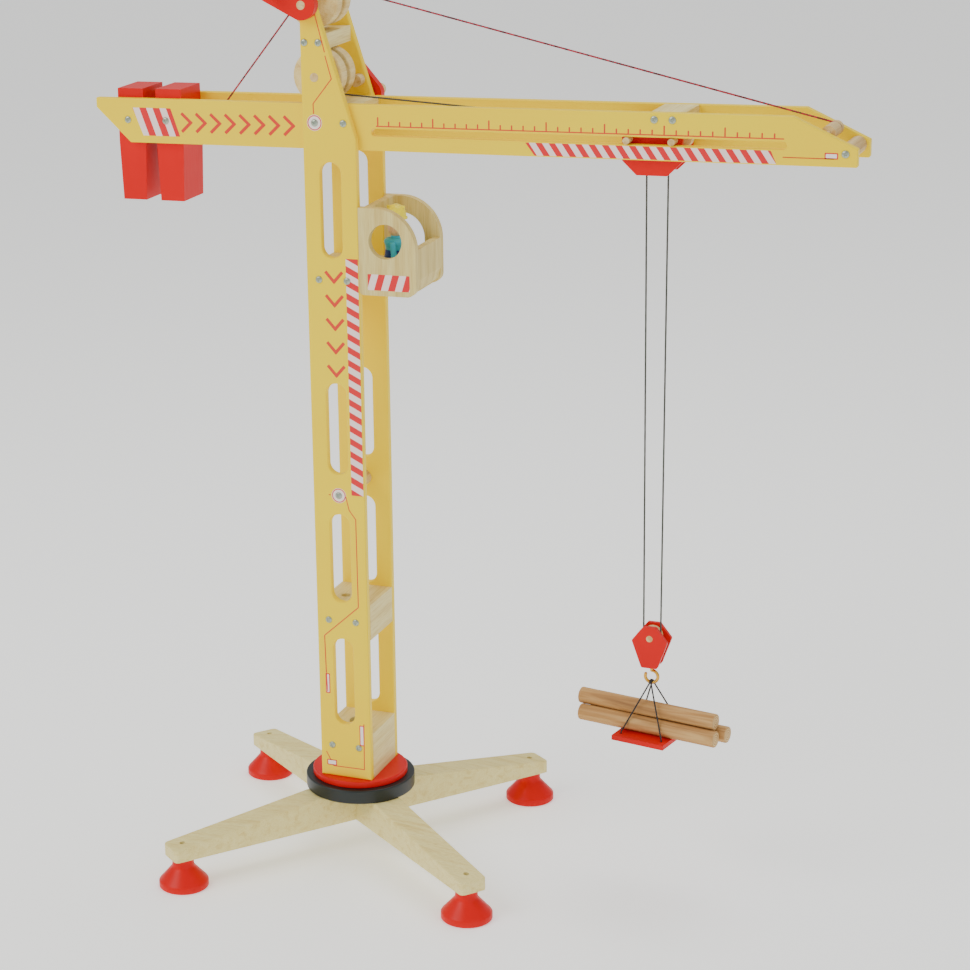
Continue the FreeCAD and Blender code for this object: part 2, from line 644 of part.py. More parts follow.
def hook_block():
    corners = [
        ("-cheek_top_half", "cheek_top"), ("-cheek_half", "cheek_wide"), ("-cheek_under_half",
                "cheek_under"),
        ("cheek_under_half", "cheek_under"), ("cheek_half", "cheek_wide"), ("cheek_top_half",
                "cheek_top"),
    ]
    bores = [("0", "hook_axle_level", "axle")]
    for label, row in (("hook_cheek_front", "cheek_thick - cheek_out"), ("hook_cheek_rear", "cheek_out")):
        body = plate(f"{label}_body", corners, "cheek_thick", bores)
        dress(body, f"{label}_corners", upright_edges(body, corners), "cheek_thick / 2")
        keep(body, label, at=("trolley", row, "0"))
    axle = rod("hook_axle_rod", "axle", ("0", "0", "0"), "2 * cheek_out", along="y")
    keep(axle, "hook_axle", at=("trolley", "-cheek_out", "hook_axle_level"), turn=Rotation(X_AXIS, -90))
    inner = "cheek_out - cheek_thick"
    core = box("hook_core_box", "trolley - core_half", "trolley + core_half", f"-({inner})", inner,
            "core_low", "core_top")
    bore = rod("hook_core_bore", "hook_wire", ("trolley", "0", "core_low - 1"), "core_top")
    keep(cut("hook_core_cut", core, [bore]), "hook_core")
    sheave("hook_sheave", "hook_rim", "hook_rope_turn", "hook_sheave_width",
            ("trolley", "0", "hook_axle_level"))


def cup_hook():
    """Brass screw hook: a straight shank that runs into three quarters of a ring."""
    wire = size("hook_wire")
    ring = size("hook_turn")
    centre = Vector(size("trolley"), 0, size("hook_eye"))

    def on_ring(degrees):
        angle = math.radians(degrees)
        return centre + Vector(math.cos(angle), 0, math.sin(angle)) * ring

    top = on_ring(90)
    shank_top = Vector(top.x, 0, size("core_top"))
    bend = Part.Arc(top, on_ring(-45), on_ring(-200)).toShape()
    path = Part.Wire([Part.LineSegment(shank_top, top + Z_AXIS * 2).toShape()])
    start = Part.makeCylinder(wire, path.Length + 2, shank_top, Z_AXIS * -1)
    profile = Part.Wire([Part.Circle(top, X_AXIS, wire).toShape()])
    hook = Part.Wire([bend]).makePipeShell([profile], True, True)
    tip = Part.makeSphere(wire, on_ring(-200))
    joint = Part.makeSphere(wire, top)
    thing = doc.addObject("Part::Feature", "cup_hook_shape")
    thing.Shape = hook.fuse([start, tip, joint]).removeSplitter()
    keep(thing, "cup_hook")


def load():
    """Pallet, sling and logs, drawn about the hook's axis and turned with the load."""
    turn = Rotation(Z_AXIS, size("load_turn"))
    at = ("trolley", "0", "0")
    low = "pallet_top - pallet_thick"
    pallet = box(
        "pallet_box", "-pallet_half_length", "pallet_half_length",
        "-pallet_half_width", "pallet_half_width", low, "pallet_top",
    )
    holes = [
        rod(f"pallet_bore_{i}{j}", "pallet_bore",
                (f"{i} * pallet_hole", f"{j} * pallet_hole", f"{low} - 1"), "pallet_thick + 2")
        for i in (-1, 1)
        for j in (-1, 1)
    ]
    keep(cut("pallet_cut", pallet, holes), "load_pallet", at=at, turn=turn)

    radius = size("log")
    length = size("log_length")
    row = size("log_row")
    bed = size("pallet_top") + radius + 0.1
    crown = bed + math.sqrt((2 * radius + 0.1) ** 2 - row ** 2)
    logs = [
        Part.makeCylinder(radius, length, Vector(shift - length / 2, y, z), X_AXIS)
        for shift, y, z in ((0, -row, bed), (5, row, bed), (-4, 0, crown))
    ]
    thing = doc.addObject("Part::Feature", "log_group")
    thing.Shape = Part.makeCompound(logs)
    keep(thing, "load_logs", at=at, turn=turn)

    cord = size("sling_cord")
    seat = Vector(0, 0, size("hook_eye - hook_turn"))
    reach = size("hook_wire + sling_cord + sling_play")
    loop = Part.makeTorus(reach, cord, seat, X_AXIS)
    above = Part.makeBox(20, 20, 20, seat - Vector(10, 10, 0))
    pieces = [loop.common(above)]
    for i in (-1, 1):
        for j in (-1, 1):
            shoulder = seat + Vector(0, j * reach, 0)
            mouth = Vector(i * size("pallet_hole"), j * size("pallet_hole"),
                    size("pallet_top") + 2 * cord)
            knot = Vector(mouth.x, mouth.y, size(low) - 2 * cord - 0.2)
            leg = mouth - shoulder
            pieces += [
                Part.makeSphere(cord, shoulder), Part.makeCylinder(cord, leg.Length, shoulder, leg),
                Part.makeSphere(cord, mouth), Part.makeCylinder(cord, mouth.z - knot.z, knot),
                Part.makeSphere(2 * cord, knot),
            ]
    thing = doc.addObject("Part::Feature", "sling_shape")
    thing.Shape = pieces[0].fuse(pieces[1:]).removeSplitter()
    keep(thing, "load_sling", at=at, turn=turn)


# ---- cab and driver ---------------------------------------------------------------------------

def cab():
    corners = [("cab_left", "cab_low"), ("cab_right", "cab_low"), ("cab_right", "cab_high"),
            ("cab_left", "cab_high")]
    opening = [
        ("window_left", "window_low"), ("window_right", "window_low"),
        ("window_right", "window_top"), ("window_left", "window_top"),
    ]
    for label, row in (("cab_side_front", "-mast_in"), ("cab_side_rear", "mast_out")):
        porthole = [("porthole_place", "porthole_level", "porthole")] if label == "cab_side_front" else []
        body = plate(f"{label}_body", corners, "board", porthole)
        if label == "cab_side_rear":
            sketch = new_sketch(body, "window_outline")
            draw_polygon(sketch, opening)
            pocket = body.newObject("PartDesign::Pocket", "window_pocket")
            pocket.Profile = sketch
            pocket.Type = "ThroughAll"
            pocket.Reversed = True
            doc.recompute()
            dress(body, "window_brow_round", upright_edges(body, opening[2:3]), "window_brow")
            dress(body, "window_corners", upright_edges(body, [opening[0], opening[1], opening[3]]),
                    "cab_toe")
        dress(body, f"{label}_brow", upright_edges(body, corners[2:3]), "cab_brow")
        dress(body, f"{label}_heel", upright_edges(body, corners[1:2]), "cab_heel")
        dress(body, f"{label}_toe", upright_edges(body, corners[0:1]), "cab_toe")
        keep(body, label, at=("0", row, "0"))

    board_corners = [
        ("cab_floor_end", "cab_board_low"), ("cab_right - cab_heel * 0.3",
                "cab_board_low + cab_heel * 0.3"),
        ("cab_right", "cab_board_knee"), ("cab_right", "cab_board_top"), ("cab_floor_end",
                "cab_board_top"),
    ]
    board = plate("cab_board_body", board_corners, "2 * mast_in")
    keep(board, "cab_front_board", at=("0", "mast_in", "0"))
    rail = doc.addObject("Part::Box", "cab_rail_box")
    bind(rail, Length="rail_right - rail_left", Width="2 * mast_in", Height="cab_high - rail_low")
    keep(rail, "cab_roof_rail", at=("rail_left", "-mast_in", "rail_low"))


def driver():
    body = turned("driver_body_turned", [
        ("0", "driver_foot"), ("driver_body", "driver_foot"), ("driver_waist", "driver_foot + 14"),
        ("driver_body", "driver_shoulder - 4"), ("driver_neck", "driver_shoulder"), ("driver_neck",
                "driver_chin"),
        ("driver_cheek", "driver_chin + 4"), ("driver_cheek", "driver_brow"), ("helmet_rim",
                "driver_brow"),
        ("helmet_rim", "driver_brow + 1.5"), ("helmet_side", "driver_brow + 2"), ("helmet_side",
                "helmet_crown - 3"),
        ("helmet_top_flat", "helmet_top"), ("0", "helmet_top"),
    ])
    keep(body, "driver_figure", at=("driver_place", "0", "0"))


# ---- ropes --------------------------------------------------------------------------------------

def tangent(one, radius_one, turn_one, two, radius_two, turn_two):
    """Points where a taut line leaves one circle and meets the next, in the XZ plane.

    A turn of 1 means that the rope runs clockwise round that circle as seen from the front.
    """
    gap = two - one
    span = gap.Length
    heading = math.atan2(gap.z, gap.x)
    lift = math.asin((turn_one * radius_one - turn_two * radius_two) / span)
    normal = heading + math.pi / 2 - lift
    side = Vector(math.cos(normal), 0, math.sin(normal))
    return one + side * turn_one * radius_one, two + side * turn_two * radius_two


def straight(start, end, clear_start="0", clear_end="0"):
    """A straight run of rope; either end can stop a little short of its point."""
    along = (end - start).normalize()
    start = start + along * size(clear_start)
    run = end - along * size(clear_end) - start
    return Part.makeCylinder(size("rope"), run.Length, start, run)


def wrapped(centre, start, end, clockwise):
    """A rope's arc round a circle in the XZ plane, from one point on it to another."""
    first = math.atan2(start.z - centre.z, start.x - centre.x)
    last = math.atan2(end.z - centre.z, end.x - centre.x)
    sweep = (first - last if clockwise else last - first) % (2 * math.pi)
    disc = Part.Face(Part.Wire([Part.Circle(start,
            Vector(start.z - centre.z, 0, centre.x - start.x), size("rope")).toShape()]))
    axis = Vector(0, 1, 0) if clockwise else Vector(0, -1, 0)
    return disc.revolve(centre, axis, math.degrees(sweep))


def spot(place, row, level):
    return Vector(size(place), size(row), size(level))


def flat(point, row):
    """The same point, moved to the given Y."""
    return Vector(point.x, row, point.z)


def rope_node(label, pieces):
    thing = doc.addObject("Part::Feature", f"{label}_shape")
    thing.Shape = Part.makeCompound(pieces)
    keep(thing, label)


def hoist_rope():
    """From the lower drum over one trolley sheave, under the hook sheave, over the other to the tip."""
    drum_centre = spot("lift_drum_place", "0", "lift_drum_level")
    mast_sheave = spot("trolley - axle_offset", "0", "track_level")
    tip_sheave = spot("trolley + axle_offset", "0", "track_level")
    hook_wheel = spot("trolley", "0", "hook_axle_level")
    turn, hook_turn = size("sheave_rope_turn"), size("hook_rope_turn")
    off_drum, on_mast = tangent(drum_centre, size("lift_rope_turn"), -1, mast_sheave, turn, 1)
    off_mast, on_hook = tangent(mast_sheave, turn, 1, hook_wheel, hook_turn, -1)
    off_hook, on_tip = tangent(hook_wheel, hook_turn, -1, tip_sheave, turn, 1)
    anchor = spot("tip_dowel_place - tip_dowel_radius", "0", "tip_dowel_level")
    off_tip, _ = tangent(tip_sheave, turn, 1, anchor, 0, 1)
    run = straight(flat(off_drum, size("lift_drum_centre")), on_mast, clear_end="rope_play")
    tail = straight(off_tip, anchor, clear_start="rope_play")
    rope_node("hoist_rope_jib", [run, tail])
    rope_node("hoist_rope_falls", [
        wrapped(mast_sheave, on_mast, off_mast, True), straight(off_mast, on_hook),
        wrapped(hook_wheel, on_hook, off_hook, False), straight(off_hook, on_tip),
        wrapped(tip_sheave, on_tip, off_tip, True),
    ])


def trolley_rope():
    """Loop from the trolley round the back roller, the upper drum and the tip roller to the trolley."""
    row = size("roller_rope_row")
    back = spot("back_roller_place", "0", "track_level + roller_rope_turn")
    top = spot("pull_drum_place", "0", "pull_drum_level")
    tip = spot("tip_roller_place", "0", "tip_roller_level")
    small, large = size("roller_rope_turn"), size("pull_rope_turn")
    mast_end = spot("trolley - axle_offset - axle", "0", "track_level")
    tip_end = spot("trolley + axle_offset + axle", "0", "track_level")
    under_back = back - Z_AXIS * small
    off_back, on_top = tangent(back, small, 1, top, large, 1)
    off_top, on_tip = tangent(top, large, 1, tip, small, 1)
    off_tip, _ = tangent(tip, small, 1, tip_end, 0, 1)
    centre = size("pull_drum_centre")
    rope_node("trolley_rope", [
        straight(flat(mast_end, row), flat(under_back, row)),
        wrapped(flat(back, row), flat(under_back, row), flat(off_back, row), True),
        straight(flat(off_back, row), flat(on_top, centre)),
        wrapped(flat(top, centre), flat(on_top, centre), flat(off_top, centre), True),
        straight(flat(off_top, centre), flat(on_tip, row)),
        wrapped(flat(tip, row), flat(on_tip, row), flat(off_tip, row), True),
        straight(flat(off_tip, row), flat(tip_end, row)),
    ])


FEET = {
    "foot_back_right": "leg_angle", "foot_back_left": "leg_angle + 90",
    "foot_front_left": "leg_angle + 180", "foot_front_right": "leg_angle + 270",
}

cross_leg("cross_leg_lower", "leg_angle", "lap_level", "ring_top")
cross_leg("cross_leg_upper", "leg_angle + 90", "0", "lap_level")
for foot_label, foot_heading in FEET.items():
    foot(foot_label, foot_heading)
foot_screws(FEET.values())
turntable()
pivot_set()
mast_panel("mast_panel_front", FRONT)
mast_panel("mast_panel_rear", BACK)
mast_blocks()
jib_panel("jib_panel_front", FRONT)
jib_panel("jib_panel_rear", BACK)
jib_blocks()
counterweight("counterweight_outer", "weight_outer", JIB_SCREWS[0])
counterweight("counterweight_inner", "weight_inner", JIB_SCREWS[1])
side_screws()
drum("trolley_drum", "pull_drum_place", "pull_drum_level", "pull_drum_centre", "pull_rope_turn")
drum("hoist_drum", "lift_drum_place", "lift_drum_level", "lift_drum_centre", "lift_rope_turn")
crank_set("trolley", "pull_drum_place", "pull_drum_level", "pull_crank_angle", FRONT)
crank_set("hoist", "lift_drum_place", "lift_drum_level", "lift_crank_angle", BACK)
roller("back_roller", "back_roller_place", "track_level + roller_rope_turn")
roller("tip_roller", "tip_roller_place", "tip_roller_level")
roller_axles()
guide_peg()
trolley()
hook_block()
cup_hook()
load()
cab()
driver()
hoist_rope()
trolley_rope()

doc.recompute()
for thing in doc.Objects:
    if {"Invalid", "Error"} & set(thing.State):
        raise RuntimeError(f"{thing.Label}: {thing.State}")
for thing in SUB_PARTS:
    if thing.Shape.isNull() or not thing.Shape.isValid():
        raise RuntimeError(f"{thing.Label}: bad shape")

os.makedirs("parts", exist_ok=True)
for thing in SUB_PARTS:
    thing.Shape.exportStep(f"parts/{thing.Label}.step")
print(len(SUB_PARTS), "sub-parts written")
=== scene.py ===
import math
import random

import bpy
from mathutils import Matrix, Vector


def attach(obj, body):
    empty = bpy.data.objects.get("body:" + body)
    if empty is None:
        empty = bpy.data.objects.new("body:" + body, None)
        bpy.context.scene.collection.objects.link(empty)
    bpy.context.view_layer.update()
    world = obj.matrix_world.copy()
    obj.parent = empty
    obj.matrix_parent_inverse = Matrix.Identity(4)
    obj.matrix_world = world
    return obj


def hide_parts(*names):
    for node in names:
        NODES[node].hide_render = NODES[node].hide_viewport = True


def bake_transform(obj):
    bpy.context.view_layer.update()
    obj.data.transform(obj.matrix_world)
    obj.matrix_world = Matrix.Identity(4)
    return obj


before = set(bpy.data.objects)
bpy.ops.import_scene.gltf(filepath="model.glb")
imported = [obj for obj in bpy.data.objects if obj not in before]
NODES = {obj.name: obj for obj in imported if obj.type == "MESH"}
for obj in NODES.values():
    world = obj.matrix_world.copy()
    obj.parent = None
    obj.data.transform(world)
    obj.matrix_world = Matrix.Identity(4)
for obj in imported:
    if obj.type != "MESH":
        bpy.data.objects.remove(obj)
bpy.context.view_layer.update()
MM = 0.001
random.seed(7)

# ---- sizes shared with the solids, in metres -------------------------------------------
MAST_FACE = 38.5 * MM
JIB_FACE = 30.5 * MM
HOOK_X = 316.2 * MM
ROPE = 0.9 * MM
LEG_TURN = 51.5
LOAD_TURN = math.radians(-10.5)


# ---- materials ---------------------------------------------------------------------------
def colour(hexa):
    """sRGB hex to the linear colour that shaders take."""
    parts = [int(hexa[i:i + 2], 16) / 255 for i in (1, 3, 5)]
    return [p / 12.92 if p <= 0.04045 else ((p + 0.055) / 1.055) ** 2.4 for p in parts] + [1]


def feed(mat, made, inputs):
    """Sets a node's inputs, each to a constant or to another node's output."""
    for key, value in inputs.items():
        if isinstance(value, bpy.types.NodeSocket):
            mat.node_tree.links.new(value, made.inputs[key])
        else:
            made.inputs[key].default_value = value


def node(mat, kind, inputs, stops=(), **settings):
    """Adds a shader node with its settings, its inputs and, on a colour ramp, its stops."""
    made = mat.node_tree.nodes.new(kind)
    for name, value in settings.items():
        setattr(made, name, value)
    feed(mat, made, inputs)
    if stops:
        band = made.color_ramp.elements
        while len(band) < len(stops):
            band.new(0.5)
        for element, (place, hexa) in zip(band, stops):
            element.position = place
            element.color = colour(hexa)
    return made


def new_material(name, rough, metal=0.0, sheen=0.0):
    mat = bpy.data.materials.new(name)
    mat.use_nodes = True
    shader = mat.node_tree.nodes["Principled BSDF"]
    feed(mat, shader, {"Roughness": rough, "Metallic": metal, "Sheen Weight": sheen})
    return mat, shader


def stretched(mat, turn=(0, 0, 0), scale=(1, 1, 1)):
    """Object coordinates in metres, turned and stretched."""
    where = node(mat, "ShaderNodeTexCoord", {}).outputs["Object"]
    inputs = {"Vector": where, "Rotation": turn, "Scale": scale}
    return node(mat, "ShaderNodeMapping", inputs).outputs["Vector"]


def painted(name, light, dark, grain=(40, 40, 4), rough=0.38, relief=0.12):
    """Satin paint on wood: the grain shows faintly through, and the colour drifts over 110 mm."""
    mat, shader = new_material(name, rough)
    soft = node(mat, "ShaderNodeTexNoise", {"Vector": stretched(mat), "Scale": 9, "Detail": 3})
    along_grain = stretched(mat, scale=grain)
    fine = node(mat, "ShaderNodeTexNoise", {"Vector": along_grain, "Scale": 14, "Detail": 6}).outputs["Fac"]
    tone = node(mat, "ShaderNodeValToRGB", {"Fac": soft.outputs["Fac"]}, [(0.25, dark), (0.7, light)])
    gloss = node(mat, "ShaderNodeMath", {0: fine, 1: 0.25, 2: rough - 0.12}, operation="MULTIPLY_ADD")
    dents = node(mat, "ShaderNodeBump", {"Height": fine, "Strength": relief, "Distance": 0.4 * MM})
    feed(mat, shader, {
        "Specular IOR Level": 0.22, "Base Color": tone.outputs["Color"],
        "Roughness": gloss.outputs["Value"], "Normal": dents.outputs["Normal"],
    })
    return mat


# how object coordinates are squeezed across the grain, by the axis that the grain follows
GRAIN = {"x": (0.9, 34, 34), "y": (34, 0.9, 34), "z": (34, 34, 0.9)}


def bare_wood(name, light, mid, dark, turn=0.0, along="x", rings=55.0, rough=0.55):
    """Waxed bare wood: long bands and short dark pores that follow the grain."""
    mat, shader = new_material(name, rough)
    where = stretched(mat, turn=(0, 0, -turn), scale=GRAIN[along])
    bands = node(mat, "ShaderNodeTexNoise", {
        "Vector": where, "Scale": rings / 12, "Detail": 5, "Distortion": 0.6,
    })
    pores = node(mat, "ShaderNodeTexNoise", {"Vector": where, "Scale": rings, "Detail": 3}).outputs["Fac"]
    stops = [(0.3, dark), (0.48, mid), (0.66, light)]
    tone = node(mat, "ShaderNodeValToRGB", {"Fac": bands.outputs["Fac"]}, stops)
    speck = node(mat, "ShaderNodeValToRGB", {"Fac": pores}, [(0.35, "#ddd0ae"), (0.55, "#ffffff")])
    layers = {0: 0.55, 6: tone.outputs["Color"], 7: speck.outputs["Color"]}
    both = node(mat, "ShaderNodeMix", layers, data_type="RGBA", blend_type="MULTIPLY")
    dents = node(mat, "ShaderNodeBump", {"Height": pores, "Strength": 0.25, "Distance": 0.3 * MM})
    feed(mat, shader, {"Base Color": both.outputs[2], "Normal": dents.outputs["Normal"]})
    return mat


def metal(name, hexa, rough):
    """Bright plated or polished metal: fine scratches about 1 mm long change its gloss."""
    mat, shader = new_material(name, rough, metal=1.0)
    fine = node(mat, "ShaderNodeTexNoise", {"Vector": stretched(mat), "Scale": 900, "Detail": 4})
    scratches = {0: fine.outputs["Fac"], 1: 0.3, 2: rough - 0.12}
    gloss = node(mat, "ShaderNodeMath", scratches, operation="MULTIPLY_ADD")
    feed(mat, shader, {"Base Color": colour(hexa), "Roughness": gloss.outputs["Value"]})
    return mat


def moulded(name, hexa, rough):
    """Moulded ABS with a matt texture, its grit drawn 1.4 mm wide so that it shows."""
    mat, shader = new_material(name, rough)
    fine = node(mat, "ShaderNodeTexNoise", {"Vector": stretched(mat), "Scale": 700, "Detail": 3})
    grit = {"Height": fine.outputs["Fac"], "Strength": 0.15, "Distance": 0.2 * MM}
    dents = node(mat, "ShaderNodeBump", grit)
    feed(mat, shader, {"Base Color": colour(hexa), "Normal": dents.outputs["Normal"]})
    return mat


def cord_fibre(name, light, dark, fleck):
    """Spun cord: two-tone flecks, so many a metre, over a fibre relief of a quarter millimetre."""
    mat, shader = new_material(name, 0.85, sheen=0.3)
    flecks = node(mat, "ShaderNodeTexNoise", {"Vector": stretched(mat), "Scale": fleck, "Detail": 2})
    tone = node(mat, "ShaderNodeValToRGB", {"Fac": flecks.outputs["Fac"]}, [(0.42, dark), (0.58, light)])
    fibre = node(mat, "ShaderNodeTexNoise", {"Vector": stretched(mat), "Scale": 4000, "Detail": 2})
    raised = {"Height": fibre.outputs["Fac"], "Strength": 0.4, "Distance": 0.2 * MM}
    dents = node(mat, "ShaderNodeBump", raised)
    feed(mat, shader, {"Base Color": tone.outputs["Color"], "Normal": dents.outputs["Normal"]})
    return mat


def barred(name, pitch, slope, share=0.5, shift=0.0):
    """Printed slanting red bars on white: they repeat every pitch along X plus slope times Z."""
    mat, shader = new_material(name, 0.42)
    where = node(mat, "ShaderNodeSeparateXYZ", {"Vector": stretched(mat)}).outputs
    slant = node(mat, "ShaderNodeMath", {0: where["Z"], 1: slope, 2: where["X"]}, operation="MULTIPLY_ADD")
    repeats = {0: slant.outputs["Value"], 1: 1 / pitch, 2: shift}
    turns = node(mat, "ShaderNodeMath", repeats, operation="MULTIPLY_ADD")
    phase = node(mat, "ShaderNodeMath", {0: turns.outputs["Value"]}, operation="FRACT")
    step = node(mat, "ShaderNodeMath", {0: phase.outputs["Value"], 1: share}, operation="LESS_THAN")
    inks = {0: step.outputs["Value"], 6: colour("#fbe3dc"), 7: colour("#e0101a")}
    tone = node(mat, "ShaderNodeMix", inks, data_type="RGBA")
    feed(mat, shader, {"Base Color": tone.outputs[2]})
    return mat


def plain(name, hexa, rough=0.45):
    mat, shader = new_material(name, rough)
    feed(mat, shader, {"Base Color": colour(hexa)})
    return mat


YELLOW = painted("yellow paint on plywood", "#ffe000", "#ffd800")
YELLOW_JIB = painted("yellow paint on jib boards", "#ffe000", "#ffd800", grain=(4, 40, 40))
RED = painted("red paint on wood", "#e00400", "#d00200")
RED_FLAT = painted("red paint on pallet boards", "#e40a02", "#c40600", (4, 40, 4), rough=0.5, relief=0.2)
BLACK = moulded("black moulded ring", "#101a17", 0.42)
ZINC = metal("zinc plated steel", "#a9b3a2", 0.34)
BRASS = metal("polished brass", "#d9a441", 0.22)
PINE = ("#f6e9a2", "#f2e398", "#e6d282")
LEG_A = bare_wood("pine beam one", *PINE, turn=math.radians(LEG_TURN))
LEG_B = bare_wood("pine beam two", *PINE, turn=math.radians(LEG_TURN + 90))
BLOCK = bare_wood("pine block", "#f6e6a0", "#f0dc90", "#e2c97a", along="y", rings=40)
DRUM = bare_wood("turned pine drum", "#f4dfa0", "#ecd28c", "#d6b46a", along="y", rings=40)
DOWEL = bare_wood("beech dowel", "#e8cf96", "#dcbc7e", "#c29a58", along="y")
CAB = bare_wood("bare plywood of the cab", "#e8d68c", "#e2cd80", "#d2b868", along="z", rings=45)
HOIST_CORD = cord_fibre("grey hoist cord", "#5a5a50", "#2c2c28", 1500)
PULL_CORD = cord_fibre("red trolley cord", "#c2183a", "#4a1420", 420)
SLING_CORD = cord_fibre("black sling cord", "#34302c", "#121010", 900)
MARK = plain("red printing ink", "#e0301a")
LABEL = plain("white printing ink", "#fbeee6")


def dress_nodes(material, *names):
    for name in names:
        slots = NODES[name].material_slots
        for each in slots:
            each.material = material
        if not slots:
            NODES[name].data.materials.append(material)


dress_nodes(YELLOW, "mast_panel_front", "mast_panel_rear")
dress_nodes(
    BLOCK, "mast_block_bottom", "mast_block_middle", "mast_block_head", "jib_block_mast", "jib_block_top",
)
dress_nodes(DRUM, "trolley_drum", "hoist_drum")
dress_nodes(YELLOW_JIB, "jib_panel_front", "jib_panel_rear")
dress_nodes(
    RED, "turntable_disc", "trolley_crank", "hoist_crank", "trolley_plate_front", "trolley_plate_rear",
    "hook_cheek_front", "hook_cheek_rear", "hook_core", "counterweight_inner", "counterweight_outer",
)
dress_nodes(RED_FLAT, "load_pallet")
dress_nodes(BLACK, "turntable_ring")
dress_nodes(ZINC, "pivot_bolt_set", "side_screws", "foot_screws")
dress_nodes(BRASS, "cup_hook")
dress_nodes(LEG_A, "cross_leg_lower")
dress_nodes(LEG_B, "cross_leg_upper")
dress_nodes(
    DOWEL, "trolley_knob", "hoist_knob", "rope_guide_peg", "trolley_axles", "hook_axle", "roller_axles",
    "mast_spacer_dowel", "jib_tip_dowel", "trolley_shaft", "hoist_shaft", "back_roller", "tip_roller",
    "trolley_sheave_mast", "trolley_sheave_tip", "hook_sheave",
)
dress_nodes(CAB, "cab_side_front", "cab_side_rear", "cab_front_board", "cab_roof_rail", "cab_floor_block")


# ---- modelling tools ---------------------------------------------------------------------
def deselect():
    if bpy.context.object and bpy.context.object.mode != "OBJECT":
        bpy.ops.object.mode_set(mode="OBJECT")
    bpy.ops.object.select_all(action="DESELECT")


def only(piece):
    deselect()
    piece.select_set(True)
    bpy.context.view_layer.objects.active = piece


def finished(piece, name, material, body, smooth=35, place=None):
    """Names a piece, moves it into place, applies that, and lets it ride on its body."""
    only(piece)
    if place is not None:
        piece.data.transform(place @ piece.matrix_world)
        piece.matrix_world = Matrix()
    bpy.ops.object.transform_apply(location=True, rotation=True, scale=True)
    piece.name = name
    piece.data.name = name
    if material is not None:
        piece.data.materials.clear()
        piece.data.materials.append(material)
    bpy.ops.object.mode_set(mode="EDIT")
    bpy.ops.mesh.select_all(action="SELECT")
    bpy.ops.mesh.normals_make_consistent(inside=False)
    bpy.ops.object.mode_set(mode="OBJECT")
    bpy.ops.object.shade_smooth_by_angle(angle=math.radians(smooth))
    if body:
        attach(piece, body)
    return piece


def lathe(profile, segments):
    """A turned solid about Z: a disc drawn up through the profile's radii and heights, in metres."""
    deselect()
    (radius, height), rest = profile[0], profile[1:]
    bpy.ops.mesh.primitive_circle_add(
        vertices=segments, radius=radius, fill_type="NGON", location=(0, 0, height),
    )
    piece = bpy.context.object
    bpy.ops.object.transform_apply(location=True)
    bpy.ops.object.mode_set(mode="EDIT")
    bpy.ops.mesh.select_all(action="SELECT")
    for next_radius, next_height in rest:
        rise = {"value": (0, 0, next_height - height)}
        bpy.ops.mesh.extrude_region_move(TRANSFORM_OT_translate=rise)
        ratio = next_radius / radius
        bpy.ops.transform.resize(value=(ratio, ratio, 1), center_override=(0, 0, next_height))
        radius, height = next_radius, next_height
    bpy.ops.object.mode_set(mode="OBJECT")
    return piece


def turned(profile, segments):
    """A turned solid from radii and heights in millimetres."""
    return lathe([(radius * MM, height * MM) for radius, height in profile], segments)


def block(size, bevel, segments):
    """A block about the origin with rounded edges."""
    deselect()
    bpy.ops.mesh.primitive_cube_add(size=1)
    piece = bpy.context.object
    piece.scale = size
    bpy.ops.object.transform_apply(scale=True)
    bpy.ops.object.mode_set(mode="EDIT")
    bpy.ops.mesh.select_all(action="SELECT")
    bpy.ops.mesh.bevel(offset=bevel, segments=segments, affect="EDGES")
    bpy.ops.object.mode_set(mode="OBJECT")
    return piece


def copy_of(piece):
    twin = piece.copy()
    twin.data = piece.data.copy()
    bpy.context.collection.objects.link(twin)
    return twin


def join(pieces):
    only(pieces[0])
    for piece in pieces[1:]:
        piece.select_set(True)
    bpy.ops.object.join()
    return bpy.context.object


def cut_away(piece, cutter):
    """Cuts the cutter's shape out of the piece and deletes the cutter."""
    only(piece)
    change = piece.modifiers.new("cut", "BOOLEAN")
    change.object = cutter
    change.operation = "DIFFERENCE"
    change.solver = "EXACT"
    bpy.ops.object.modifier_apply(modifier=change.name)
    bpy.data.objects.remove(cutter, do_unlink=True)


def moved(x=0.0, y=0.0, z=0.0):
    return Matrix.Translation((x, y, z))


def spun(degrees, axis):
    return Matrix.Rotation(math.radians(degrees), 4, axis)


# ---- turned feet ---------------------------------------------------------------------------
FOOT_PROFILE = [
    (25, 0), (26, 1), (26, 6.5), (25.2, 7.8), (22.9, 10.2), (18, 15.8), (13, 21.5), (11.5, 24), (11, 33),
]
FOOT_RING = 213 * MM
foot_master = turned(FOOT_PROFILE, 64)
for quarter, corner in enumerate(("back_right", "back_left", "front_left", "front_right")):
    place = spun(LEG_TURN + 90 * quarter, "Z") @ moved(x=FOOT_RING)
    foot = finished(copy_of(foot_master), f"turned_foot_{corner}", RED, "base", place=place)
    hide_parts(f"foot_{corner}")
bpy.data.objects.remove(foot_master, do_unlink=True)


# ---- screws with cross recesses -------------------------------------------------------------
HEAD_RADIUS, HEAD_RISE = 3.6 * MM, 1.6 * MM
# where the screws stand, as (x, z) in millimetres
MAST_SCREWS = [(x, z) for z in (124, 264, 623.5) for x in (-15, 15)]
MAST_SCREWS += [(0, 400), (-23.5, 857), (-9, 857), (-15, 779.5), (15, 779.5)]
JIB_SCREWS = [(-223.5, 775.5), (-181, 775.5), (321, 790.6), (338, 790.6), (496, 764.5)]


